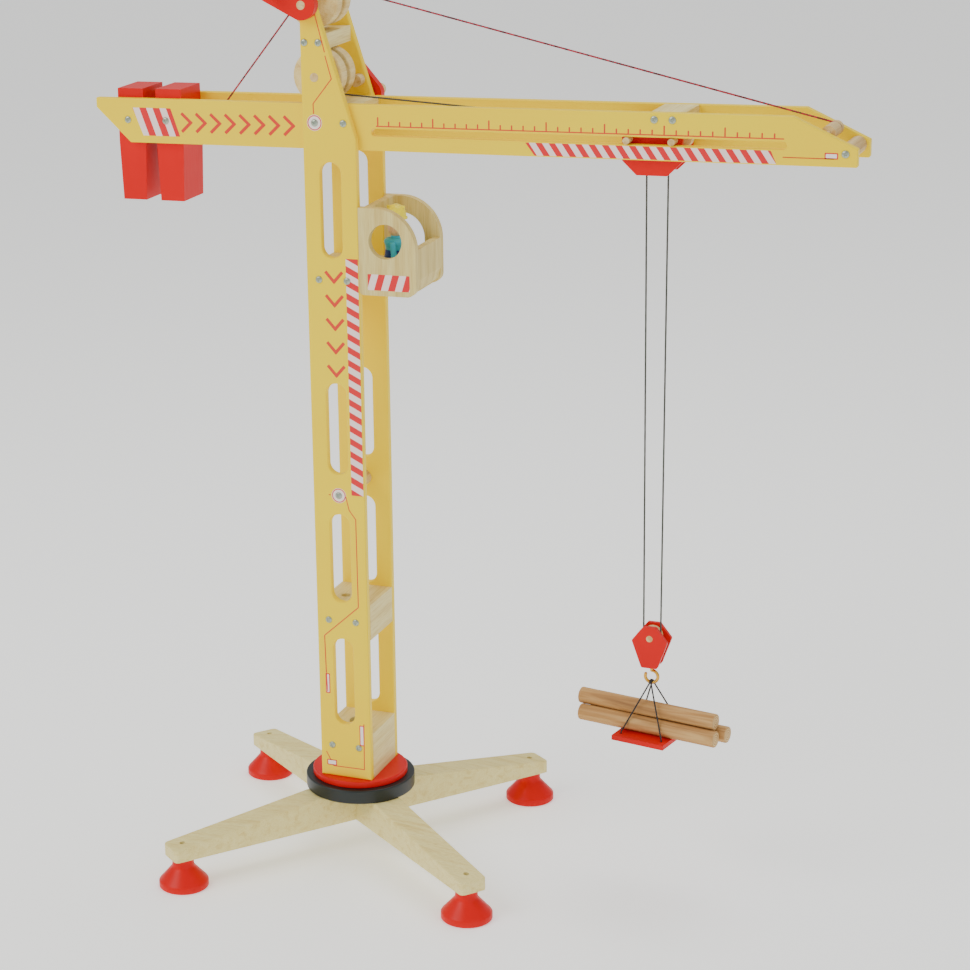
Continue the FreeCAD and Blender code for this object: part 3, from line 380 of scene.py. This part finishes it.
def screw_head(radius, rise):
    """A domed head, its flat just under Z = 0, with a cross recess."""
    steps = [(math.cos(a), math.sin(a)) for a in (0, 0.35, 0.7, 1.0, 1.3)]
    profile = [(radius * 0.98, -0.1 * MM)] + [(radius * c, rise * (0.2 + 0.8 * s)) for c, s in steps]
    head = lathe(profile, 32)
    for turn in (0, 90):
        slit = block((radius * 1.05, radius * 0.26, rise * 1.2), radius * 0.03, 1)
        slit.data.transform(moved(z=rise * 1.1) @ spun(turn, "Z"))
        cut_away(head, slit)
    return head


screw_master = screw_head(HEAD_RADIUS, HEAD_RISE)
heads = []
for spots, face in ((MAST_SCREWS, MAST_FACE), (JIB_SCREWS, JIB_FACE)):
    for x, z in spots:
        for side in (-1, 1):
            head = copy_of(screw_master)
            tilt = spun(-90 * side, "X") @ spun(random.uniform(0, 90), "Z")
            head.data.transform(moved(x * MM, side * face, z * MM) @ tilt)
            heads.append(head)
bpy.data.objects.remove(screw_master, do_unlink=True)
screws = finished(join(heads), "side_screw_heads", ZINC, "tower")
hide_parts("side_screws")


# ---- printed marks, their places as (x, z) in millimetres --------------------------------------
PRINT = 0.08 * MM


def sticker(name, corners, face, material, body, side=-1):
    """A thin printed film with rounded corners on a board's face."""
    deselect()
    bpy.ops.mesh.primitive_plane_add(size=1)
    piece = bpy.context.object
    for vertex, (x, z) in zip((0, 1, 3, 2), corners):
        piece.data.vertices[vertex].co = Vector((x * MM, 0, z * MM))
    bpy.ops.object.mode_set(mode="EDIT")
    bpy.ops.mesh.select_all(action="SELECT")
    bpy.ops.mesh.bevel(offset=0.5 * MM, segments=2, affect="VERTICES")
    bpy.ops.mesh.extrude_region_move(TRANSFORM_OT_translate={"value": (0, side * PRINT, 0)})
    bpy.ops.object.mode_set(mode="OBJECT")
    return finished(piece, name, material, body, place=moved(y=side * face))


def rectangle(left, right, low, high):
    return [(left, low), (right, low), (right, high), (left, high)]


def line_print(name, points, width, face):
    """A printed line through the points; each run is one thin bar, a little above the one before."""
    bars = []
    for (x0, z0), (x1, z1) in zip(points, points[1:]):
        run = Vector((x1 - x0, 0, z1 - z0))
        across = run.cross(Vector((0, 1, 0))).normalized() * width / 2
        along = run.normalized() * width / 2
        ends = (Vector((x0, 0, z0)) - along, Vector((x1, 0, z1)) + along)
        corners = [ends[0] + across, ends[1] + across, ends[1] - across, ends[0] - across]
        layer = face + 0.25 * PRINT * len(bars)
        bars.append(sticker(name, [(c.x, c.z) for c in corners], layer, MARK, None))
    finished(join(bars), name, MARK, "tower")


def lamp_print(name, left, right, low, high, face):
    """A white lamp shape in a red outline."""
    rim = 1.1
    sticker(f"{name}_rim", rectangle(left, right, low, high), face, MARK, "tower")
    inner = rectangle(left + rim, right - rim, low + rim, high - rim)
    sticker(name, inner, face + 0.5 * PRINT, LABEL, "tower")


def ring_print(name, x, z):
    """A white disc with a red rim round a screw on the mast's front."""
    outwards = spun(90, "X")
    at = moved(x * MM, -MAST_FACE, z * MM) @ outwards
    disc = lathe([(7.9 * MM, 0), (7.9 * MM, PRINT)], 48)
    finished(disc, name, LABEL, "tower", place=at)
    deselect()
    bpy.ops.mesh.primitive_torus_add(
        major_radius=6.9 * MM, minor_radius=0.55 * MM, major_segments=48, minor_segments=8,
    )
    rim = bpy.context.object
    rim.data.transform(Matrix.Diagonal((1, 1, 0.3, 1)))
    above = moved(x * MM, -(MAST_FACE + PRINT), z * MM) @ outwards
    finished(rim, f"{name}_rim", MARK, "tower", place=above)


MAST_BARS = barred("slanted warning bars of the mast", 27.2 * MM, 2.0)
JIB_BARS = barred("slanted warning bars of the jib", 12.9 * MM, 0.67, shift=0.2)
REAR_BARS = barred("broad warning bars", 15 * MM, 0.36, share=0.52, shift=0.1)
CAB_BARS = barred("warning bars of the cab", 14.6 * MM, -0.31, shift=0.1)
MAST_STRIPE = rectangle(14, 27, 401.5, 646)
JIB_STRIPE = [(206, 753.6), (434.4, 753.6), (429, 765.6), (197, 765.6)]
TAIL_STRIPE = [(-206.7, 760), (-165.5, 760), (-175.1, 788), (-217.9, 788)]
for side, name in ((-1, "front"), (1, "rear")):
    sticker(f"mast_bars_{name}", MAST_STRIPE, MAST_FACE, MAST_BARS, "tower", side)
    sticker(f"jib_bars_{name}", JIB_STRIPE, JIB_FACE, JIB_BARS, "tower", side)
    sticker(f"tail_bars_{name}", TAIL_STRIPE, JIB_FACE, REAR_BARS, "tower", side)
sticker("cab_bars", rectangle(37, 81, 616, 632), MAST_FACE, CAB_BARS, "tower")

# plain chevrons down the mast and along the jib's tail
CHEVRON = 3.2
for i in range(5):
    z = 530 + 24 * i
    line_print(f"mast_chevron_{i}", [(-7, z + 5), (1, z - 4), (9, z + 5)], CHEVRON, MAST_FACE)
for i in range(8):
    x = -158 + 16 * i
    line_print(f"jib_chevron_{i}", [(x - 4, 782.5), (x + 5, 774.3), (x - 4, 766)], CHEVRON, JIB_FACE)

# thin piping, by its name, width, face and points
MIDDLE_LINE = [
    (7.5, 399), (10.9, 385.3), (17.8, 376), (18.3, 281), (-20.3, 246), (-19.6, 207), (-18.6, 184),
]
for name, width, face, points in (
    ("line_upper", 0.9, MAST_FACE, [(-9, 400), (-10.9, 400)]),
    ("line_middle", 1.0, MAST_FACE, MIDDLE_LINE),
    ("line_lower", 1.0, MAST_FACE, [(-21.9, 115.3), (-14.1, 100.1), (20.6, 100.6), (21.2, 151.5)]),
    ("line_head", 1.0, MAST_FACE, [(-11.6, 883.7), (-2.5, 848.3)]),
    ("line_neck", 1.0, MAST_FACE, [(-2, 844.3), (4, 822.4), (-15.9, 798.1), (-15.7, 788.5)]),
    ("line_tip", 0.9, JIB_FACE, [(440.2, 760), (486, 759.9)]),
):
    line_print(name, points, width, face)

# the reach scale along the jib: a base line with ticks, every fifth one longer
TICK_PITCH, TICK_HALF, TICK_COUNT = 11.3, 0.7, 35
for side, name in ((-1, "front"), (1, "rear")):
    ticks = []
    for i in range(TICK_COUNT):
        x = 48 + TICK_PITCH * i
        top = 785.5 if i % 5 == 0 else 781.5
        outline = rectangle(x - TICK_HALF, x + TICK_HALF, 777, top)
        ticks.append(sticker("tick", outline, JIB_FACE, MARK, None, side))
    ticks.append(sticker("tick", rectangle(46, 441, 776, 777.1), JIB_FACE, MARK, None, side))
    finished(join(ticks), f"reach_scale_{name}", MARK, "tower")

lamp_print("lamp_left", -20.6, -15.6, 182, 204, MAST_FACE)
lamp_print("lamp_right", 16, 21.4, 127, 150, MAST_FACE)
lamp_print("lamp_foot", -21.5, -10.5, 100.5, 107, MAST_FACE)
lamp_print("lamp_tip", 477.5, 489.5, 759.6, 765.4, JIB_FACE)
ring_print("spacer_ring", 0, 400)
ring_print("jib_ring", -15, 779.5)


# ---- ropes ------------------------------------------------------------------------------------
def resample(points, step):
    """Points about a step apart along a broken line."""
    out = [points[0]]
    for a, b in zip(points, points[1:]):
        count = max(1, round((b - a).length / step))
        out += [a.lerp(b, i / count) for i in range(1, count + 1)]
    return out


def sideways(ahead):
    """Two unit vectors square to the way ahead."""
    aside = Vector((0, 1, 0)) if abs(ahead.normalized().y) < 0.9 else Vector((1, 0, 0))
    side = ahead.cross(aside).normalized()
    return side, ahead.cross(side).normalized()


def twisted(name, route, material, body, radius=ROPE, pitch=6 * MM):
    """A laid cord: three strands wound round the route, each a bevelled curve made mesh."""
    path = resample(route, pitch / 9)
    strands = 3
    lay = radius * 0.5
    made = []
    for k in range(strands):
        data = bpy.data.curves.new(name, "CURVE")
        data.dimensions = "3D"
        data.bevel_depth = radius * 0.56
        data.bevel_resolution = 1
        data.use_fill_caps = True
        line = data.splines.new("POLY")
        line.points.add(len(path) - 1)
        done = 0.0
        for i, spot in enumerate(path):
            side, other = sideways(path[min(i + 1, len(path) - 1)] - path[max(i - 1, 0)])
            if i:
                done += (spot - path[i - 1]).length
            angle = 2 * math.pi * (done / pitch + k / strands)
            off = side * math.cos(angle) * lay + other * math.sin(angle) * lay
            line.points[i].co = (*(spot + off), 1)
        strand = bpy.data.objects.new(name, data)
        bpy.context.collection.objects.link(strand)
        only(strand)
        bpy.ops.object.convert(target="MESH")
        made.append(bpy.context.object)
    return finished(join(made), name, material, body, smooth=60)


def point(x, y, z):
    return Vector((x, y, z)) * MM


def lift(spot, row):
    return point(spot.x, row, spot.y)


def tangent(one, radius_one, turn_one, two, radius_two, turn_two):
    """Tangent points of a taut line between two circles; a turn of 1 is clockwise from the front."""
    gap = Vector((two[0] - one[0], two[1] - one[1]))
    lean = math.asin((turn_one * radius_one - turn_two * radius_two) / gap.length)
    normal = math.atan2(gap.y, gap.x) + math.pi / 2 - lean
    side = Vector((math.cos(normal), math.sin(normal)))
    return Vector(one) + side * turn_one * radius_one, Vector(two) + side * turn_two * radius_two


def over(centre, radius, start, end, row, clockwise=True):
    """Points round a wheel from one tangent point to another, as seen from the front."""
    first, last = (math.degrees(math.atan2(s.y - centre[1], s.x - centre[0])) for s in (start, end))
    if clockwise and last > first:
        last -= 360
    if not clockwise and last < first:
        last += 360
    count = max(3, int(abs(last - first) / 6))
    angles = [math.radians(first + (last - first) * i / count) for i in range(count + 1)]
    return [point(centre[0] + radius * math.cos(a), row, centre[1] + radius * math.sin(a)) for a in angles]


# wheel centres as (x, z), the radii at which the cords lie, and the cords' rows along Y
LOWER_DRUM, UPPER_DRUM = (-14.1, 823.5), (-21.3, 894)
MAST_SHEAVE, TIP_SHEAVE, HOOK_WHEEL = (294.9, 770.4), (337.5, 770.4), (316.2, 273)
BACK_ROLLER, TIP_ROLLER = (-135.5, 776), (477.2, 780.5)
LIFT_TURN, PULL_TURN, SHEAVE_TURN, HOOK_TURN, SMALL_TURN = 18.3, 16, 10.8, 8.6, 5.6
LOWER_ROW, UPPER_ROW, ROW = -12, -2, 9


def hoist_run(name, first, last):
    """A straight run of the hoist cord that stretches between two bodies."""
    run = twisted(name, [first, last], HOIST_CORD, None)
    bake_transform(run)
    return run


def pull_run(name, first, last, travels):
    """A straight run of the trolley cord: it stretches from the trolley, or stays on the tower."""
    run = twisted(name, [first, last], PULL_CORD, None if travels else "tower")
    if travels:
        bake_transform(run)
    return run


def hoist_turn(name, route, body):
    twisted(name, route, HOIST_CORD, body)


def pull_turn(name, route):
    twisted(name, route, PULL_CORD, "tower")


off_drum, on_mast = tangent(LOWER_DRUM, LIFT_TURN, -1, MAST_SHEAVE, SHEAVE_TURN, 1)
off_mast, on_hook = tangent(MAST_SHEAVE, SHEAVE_TURN, 1, HOOK_WHEEL, HOOK_TURN, -1)
off_hook, on_tip = tangent(HOOK_WHEEL, HOOK_TURN, -1, TIP_SHEAVE, SHEAVE_TURN, 1)
anchor = Vector((488, 764.5))
off_tip, _ = tangent(TIP_SHEAVE, SHEAVE_TURN, 1, anchor, 0, 1)

run = hoist_run("hoist_cord_run", lift(off_drum, LOWER_ROW), lift(on_mast, 0))
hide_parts("hoist_rope_jib")
hoist_run("hoist_cord_tail", lift(off_tip, 0), lift(anchor, 0))
fall = hoist_run("hoist_cord_fall_mast", lift(off_mast, 0), lift(on_hook, 0))
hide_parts("hoist_rope_falls")
hoist_run("hoist_cord_fall_tip", lift(on_tip, 0), lift(off_hook, 0))
hoist_turn("hoist_cord_over_mast", over(MAST_SHEAVE, SHEAVE_TURN, on_mast, off_mast, 0), "trolley")
hoist_turn("hoist_cord_over_tip", over(TIP_SHEAVE, SHEAVE_TURN, on_tip, off_tip, 0), "trolley")
hoist_turn("hoist_cord_under_hook", over(HOOK_WHEEL, HOOK_TURN, on_hook, off_hook, 0, False), "hook_block")

TROLLEY_HALF, TROLLEY_LEVEL = 24.6, 770.4
mast_end = Vector((316.2 - TROLLEY_HALF, TROLLEY_LEVEL))
tip_end = Vector((316.2 + TROLLEY_HALF, TROLLEY_LEVEL))
under_back = Vector((BACK_ROLLER[0], BACK_ROLLER[1] - SMALL_TURN))
off_back, on_top = tangent(BACK_ROLLER, SMALL_TURN, 1, UPPER_DRUM, PULL_TURN, 1)
off_top, on_tip_roller = tangent(UPPER_DRUM, PULL_TURN, 1, TIP_ROLLER, SMALL_TURN, 1)
off_tip_roller, _ = tangent(TIP_ROLLER, SMALL_TURN, 1, tip_end, 0, 1)

pull = pull_run("pull_cord_under_jib", lift(mast_end, ROW), lift(under_back, ROW), True)
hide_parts("trolley_rope")
pull_run("pull_cord_tip_run", lift(tip_end, ROW), lift(off_tip_roller, ROW), True)
pull_turn("pull_cord_back_turn", over(BACK_ROLLER, SMALL_TURN, under_back, off_back, ROW))
pull_run("pull_cord_back_stay", lift(off_back, ROW), lift(on_top, UPPER_ROW), False)
pull_run("pull_cord_fore_stay", lift(off_top, UPPER_ROW), lift(on_tip_roller, ROW), False)
pull_turn("pull_cord_tip_turn", over(TIP_ROLLER, SMALL_TURN, on_tip_roller, off_tip_roller, ROW))


def coil(name, centre, radius, row, material, body):
    """Four turns of cord wound on a drum, side by side."""
    turns, steps = 4, 60
    width = 2.05 * ROPE * turns
    count = steps * turns
    route = []
    for i in range(count + 1):
        a = 2 * math.pi * i / steps
        spot = point(centre[0] + radius * math.cos(a), row, centre[1] + radius * math.sin(a))
        route.append(spot + Vector((0, width * (i / count - 0.5), 0)))
    twisted(name, route, material, body)


coil("hoist_cord_coil", LOWER_DRUM, LIFT_TURN, LOWER_ROW, HOIST_CORD, "hoist_winder")
coil("pull_cord_coil", UPPER_DRUM, PULL_TURN, UPPER_ROW, PULL_CORD, "trolley_winder")


# ---- sling and logs ---------------------------------------------------------------------------
LOAD = moved(x=HOOK_X) @ Matrix.Rotation(LOAD_TURN, 4, "Z")
SLING = 0.8 * MM
LEG_SPREAD, PALLET_TOP, BEND_Z = 22, 165.2, 173.6
seat = Vector((0, 0, 223.6 * MM))
reach = 2.7 * MM
cords = []
for i in (-1, 1):
    legs = [
        [LOAD @ point(i * LEG_SPREAD, j * LEG_SPREAD, z) for z in (PALLET_TOP, BEND_Z)] for j in (-1, 1)
    ]
    half_turn = [math.pi * k / 10 for k in range(11)]
    bend = [seat + Vector((i * 0.7 * MM, -reach * math.cos(a), reach * math.sin(a))) for a in half_turn]
    route = legs[0] + [LOAD @ spot for spot in bend] + legs[1][::-1]
    cords.append(twisted(f"sling_part_{i}", route, SLING_CORD, None, radius=SLING, pitch=5 * MM))
for i in (-1, 1):
    for j in (-1, 1):
        deselect()
        bpy.ops.mesh.primitive_ico_sphere_add(subdivisions=3, radius=1.55 * MM)
        knot = bpy.context.object
        flat = Matrix.Diagonal((1, 1.15, 0.85, 1))
        knot.data.transform(LOAD @ moved(i * LEG_SPREAD * MM, j * LEG_SPREAD * MM, PALLET_TOP * MM) @ flat)
        cords.append(knot)
sling = finished(join(cords), "sling_of_the_load", SLING_CORD, "load", smooth=60)
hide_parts("load_sling")


def log_bark(name, row, level):
    """Bare round wood: long grain on its side, and growth rings about 8 mm apart on its ends."""
    mat, shader = new_material(name, 0.7)
    where = stretched(mat, turn=(0, 0, -LOAD_TURN))
    grain = node(mat, "ShaderNodeMapping", {"Vector": where, "Scale": (2.0, 30, 30)})
    bands = node(mat, "ShaderNodeTexNoise", {
        "Vector": grain.outputs["Vector"], "Scale": 6, "Detail": 6, "Distortion": 0.8,
    }).outputs["Fac"]
    stops = [(0.3, "#8f6334"), (0.5, "#b8864a"), (0.7, "#d2a767")]
    tone = node(mat, "ShaderNodeValToRGB", {"Fac": bands}, stops)
    centre = HOOK_X * math.sin(-LOAD_TURN)
    centred = node(mat, "ShaderNodeMapping", {"Vector": where, "Location": (0, -row - centre, -level)})
    rings = node(mat, "ShaderNodeTexWave", {
        "Vector": centred.outputs["Vector"], "Scale": 130, "Distortion": 1.2, "Detail": 2, "Detail Scale": 2,
    }, wave_type="RINGS", rings_direction="X")
    stops = [(0.1, "#b98c50"), (0.7, "#e0bd82")]
    end_tone = node(mat, "ShaderNodeValToRGB", {"Fac": rings.outputs["Fac"]}, stops)
    facing = node(mat, "ShaderNodeNewGeometry", {})
    long_way = (math.cos(LOAD_TURN), math.sin(LOAD_TURN), 0)
    pair = {0: facing.outputs["Normal"], 1: long_way}
    along = node(mat, "ShaderNodeVectorMath", pair, operation="DOT_PRODUCT")
    size = node(mat, "ShaderNodeMath", {0: along.outputs["Value"]}, operation="ABSOLUTE")
    step = node(mat, "ShaderNodeMath", {0: size.outputs["Value"], 1: 0.75}, operation="GREATER_THAN")
    sides = {0: step.outputs["Value"], 6: tone.outputs["Color"], 7: end_tone.outputs["Color"]}
    both = node(mat, "ShaderNodeMix", sides, data_type="RGBA")
    dents = node(mat, "ShaderNodeBump", {"Height": bands, "Strength": 0.5, "Distance": 0.8 * MM})
    feed(mat, shader, {"Base Color": both.outputs[2], "Normal": dents.outputs["Normal"]})
    return mat


LOG_R, LOG_LONG = 8.3, 148
# each log's shift along its length, its row and its level
LOGS = [(0, -8.4, 180.4), (5, 8.4, 180.4), (-4, 0, 194.83)]
for k, (shift, row, level) in enumerate(LOGS):
    half = LOG_LONG / 2
    edge = [(LOG_R - 0.9, -half), (LOG_R - 0.3, -half + 0.3), (LOG_R, -half + 1)]
    shank = [
        (LOG_R - 0.12 * random.random(), -half + 1 + (LOG_LONG - 2) * i / 9) for i in range(1, 9)
    ]
    far = [(LOG_R, half - 1), (LOG_R - 0.3, half - 0.3), (LOG_R - 0.9, half)]
    place = LOAD @ moved(shift * MM, row * MM, level * MM) @ spun(90, "Y")
    log = turned(edge + shank + far, 48)
    bark = log_bark(f"round wood {k}", row * MM, level * MM)
    finished(log, f"round_log_{k}", bark, "load", place=place)
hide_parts("load_logs")


# ---- driver ------------------------------------------------------------------------------------
SEAT = moved(x=53 * MM)
BUILD = Matrix.Diagonal((1.28, 1.15, 1, 1))
CYAN = painted("cyan paint on the driver", "#4fd2f0", "#34bce4", rough=0.35)
DENIM = painted("blue paint on the driver", "#2350b8", "#1b3f9c", rough=0.35)
SKIN = bare_wood("bare face wood", "#f2cfa0", "#ecc491", "#e0b27c", along="z", rings=20, rough=0.45)
HELMET = plain("yellow helmet enamel", "#ffee1c", 0.28)
INK = plain("black painted features", "#181410", 0.4)
LIPS = plain("red painted mouth", "#c03a30", 0.4)
COAT_PROFILE = [
    (9.2, 636.3), (10, 637.2), (9.9, 641), (9, 646), (8.6, 650), (9, 654), (9.9, 657.5), (9.6, 659.6),
    (7.6, 661.4), (4.6, 662.2), (4.3, 664),
]
HEAD_PROFILE = [
    (3, 663.2), (5.4, 664.4), (7.2, 666.6), (8.3, 669.8), (8.7, 673), (8.6, 676.5), (7.9, 680), (6.6, 683),
    (4.4, 685.4), (1.6, 686.6),
]
CAP_PROFILE = [
    (8.3, 679.6), (11.4, 680.6), (11.6, 681.4), (11.3, 682.1), (10.2, 682.7), (10.1, 684.6), (9.4, 688.2),
    (7.8, 691.4), (5.2, 693.9), (2, 695.1),
]
TROUSERS_PROFILE = [(9.3, 636.2), (10.2, 637.1), (10.15, 641), (9.3, 646), (8.95, 649.6), (8.6, 650.2)]


def driver_part(piece, name, material, place, smooth=50):
    return finished(piece, name, material, "driver", smooth=smooth, place=SEAT @ place)


def rounded(x, y, z, bevel, segments):
    """A rounded block of so many millimetres."""
    return block((x * MM, y * MM, z * MM), bevel * MM, segments)


coat = driver_part(turned(COAT_PROFILE, 56), "driver_coat", CYAN, BUILD)
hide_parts("driver_figure")
driver_part(turned(HEAD_PROFILE, 56), "driver_head", SKIN, Matrix())
driver_part(turned(CAP_PROFILE, 56), "driver_helmet", HELMET, Matrix())
driver_part(turned(TROUSERS_PROFILE, 56), "driver_trousers", DENIM, BUILD)
for side, name in ((-1, "right"), (1, "left")):
    lean = moved(1.5 * MM, side * 12.4 * MM, 650.5 * MM) @ spun(-8, "Y") @ spun(side * 6, "X")
    driver_part(rounded(6, 5, 18, 2.3, 4), f"driver_arm_{name}", CYAN, lean)
    lie = moved(11.6 * MM, side * 4.4 * MM, 654 * MM) @ spun(8, "Y") @ spun(side * 22, "Z")
    driver_part(rounded(1.2, 2.4, 13, 0.5, 2), f"driver_strap_{name}", DENIM, lie)
ridge = finished(rounded(19, 2.4, 3, 0.8, 3), "helmet_ridge", HELMET, "driver",
                 place=SEAT @ moved(z=692.2 * MM))

# painted dots on the face: kind, material, radius, height of the ellipse, turn, reach and level
DOTS = (("eye", INK, 1.0, 1.25, 22, 8.35, 674.6), ("cheek", LIPS, 0.9, 0.8, 34, 8.2, 670.4))
for side, name in ((-1, "right"), (1, "left")):
    for kind, material, radius, tall, turn, out, z in DOTS:
        deselect()
        bpy.ops.mesh.primitive_uv_sphere_add(segments=20, ring_count=12, radius=radius * MM)
        dot = bpy.context.object
        dot.data.transform(Matrix.Diagonal((0.4, 1, tall, 1)))
        at = spun(side * turn, "Z") @ moved(out * MM, 0, z * MM)
        driver_part(dot, f"driver_{kind}_{name}", material, at, 60)
deselect()
bpy.ops.mesh.primitive_torus_add(
    major_radius=2.2 * MM, minor_radius=0.3 * MM, major_segments=32, minor_segments=8,
)
smile = bpy.context.object
bpy.ops.object.mode_set(mode="EDIT")
bpy.ops.mesh.select_all(action="SELECT")
bpy.ops.mesh.bisect(plane_co=(0, -0.9 * MM, 0), plane_no=(0, 1, 0), clear_outer=True, use_fill=True)
bpy.ops.object.mode_set(mode="OBJECT")
smile_turn = Matrix(((0, 0, 1, 0), (1, 0, 0, 0), (0, 1, 0, 0), (0, 0, 0, 1)))
driver_part(smile, "driver_smile", INK, moved(8.15 * MM, 0, 671.4 * MM) @ smile_turn, 60)


# ---- floor, lights and camera ----------------------------------------------------------------------
# each soft lamp's place, width and power
LAMPS = {
    "key": ((-1.6, -2.2, 2.6), 1.8, 54),
    "fill": ((2.6, -1.8, 1.4), 2.2, 11),
    "top": ((0.3, 0.8, 3.0), 1.8, 32),
}
LIT_CENTRE = Vector((0.1, 0, 0.45))


def studio():
    """A wide pale floor, a soft white surround and three soft lamps."""
    deselect()
    bpy.ops.mesh.primitive_plane_add(size=44)
    floor = bpy.context.object
    floor.name = "studio_floor"
    mat, shader = new_material("pale matt floor", 0.8)
    feed(mat, shader, {
        "Base Color": colour("#fbfcf9"), "Emission Color": colour("#ffffff"), "Emission Strength": 0.45,
    })
    floor.data.materials.append(mat)
    world = bpy.data.worlds.new("soft surround")
    bpy.context.scene.world = world
    world.use_nodes = True
    surround = world.node_tree.nodes["Background"].inputs
    surround["Color"].default_value = colour("#ffffff")
    surround["Strength"].default_value = 0.58
    for name, (place, width, power) in LAMPS.items():
        data = bpy.data.lights.new(name, "AREA")
        data.energy = power
        data.size = width
        lamp = bpy.data.objects.new(name, data)
        lamp.location = place
        lamp.rotation_euler = (LIT_CENTRE - Vector(place)).to_track_quat("-Z", "Y").to_euler()
        bpy.context.collection.objects.link(lamp)


def camera():
    """A hand-held view from the front, a little from the right and from above."""
    yaw, pitch, roll = math.radians(-26.98), math.radians(17.76), math.radians(-2.78)
    ahead = Vector((math.sin(yaw) * math.cos(pitch), math.cos(yaw) * math.cos(pitch), -math.sin(pitch)))
    right = Vector((math.cos(yaw), -math.sin(yaw), 0))
    up = right.cross(ahead)
    across = right * math.cos(roll) + up * math.sin(roll)
    upward = up * math.cos(roll) - right * math.sin(roll)
    data = bpy.data.cameras.new("camera")
    data.sensor_width = 36
    data.lens = 95.295
    data.shift_x = 0.3249
    data.shift_y = 0.034
    held = bpy.data.objects.new("camera", data)
    turn = Matrix((across, upward, -ahead)).transposed().to_4x4()
    held.matrix_world = Matrix.Translation((0.9764, -2.3374, 1.183)) @ turn
    bpy.context.collection.objects.link(held)
    bpy.context.scene.camera = held


studio()
camera()

deselect()
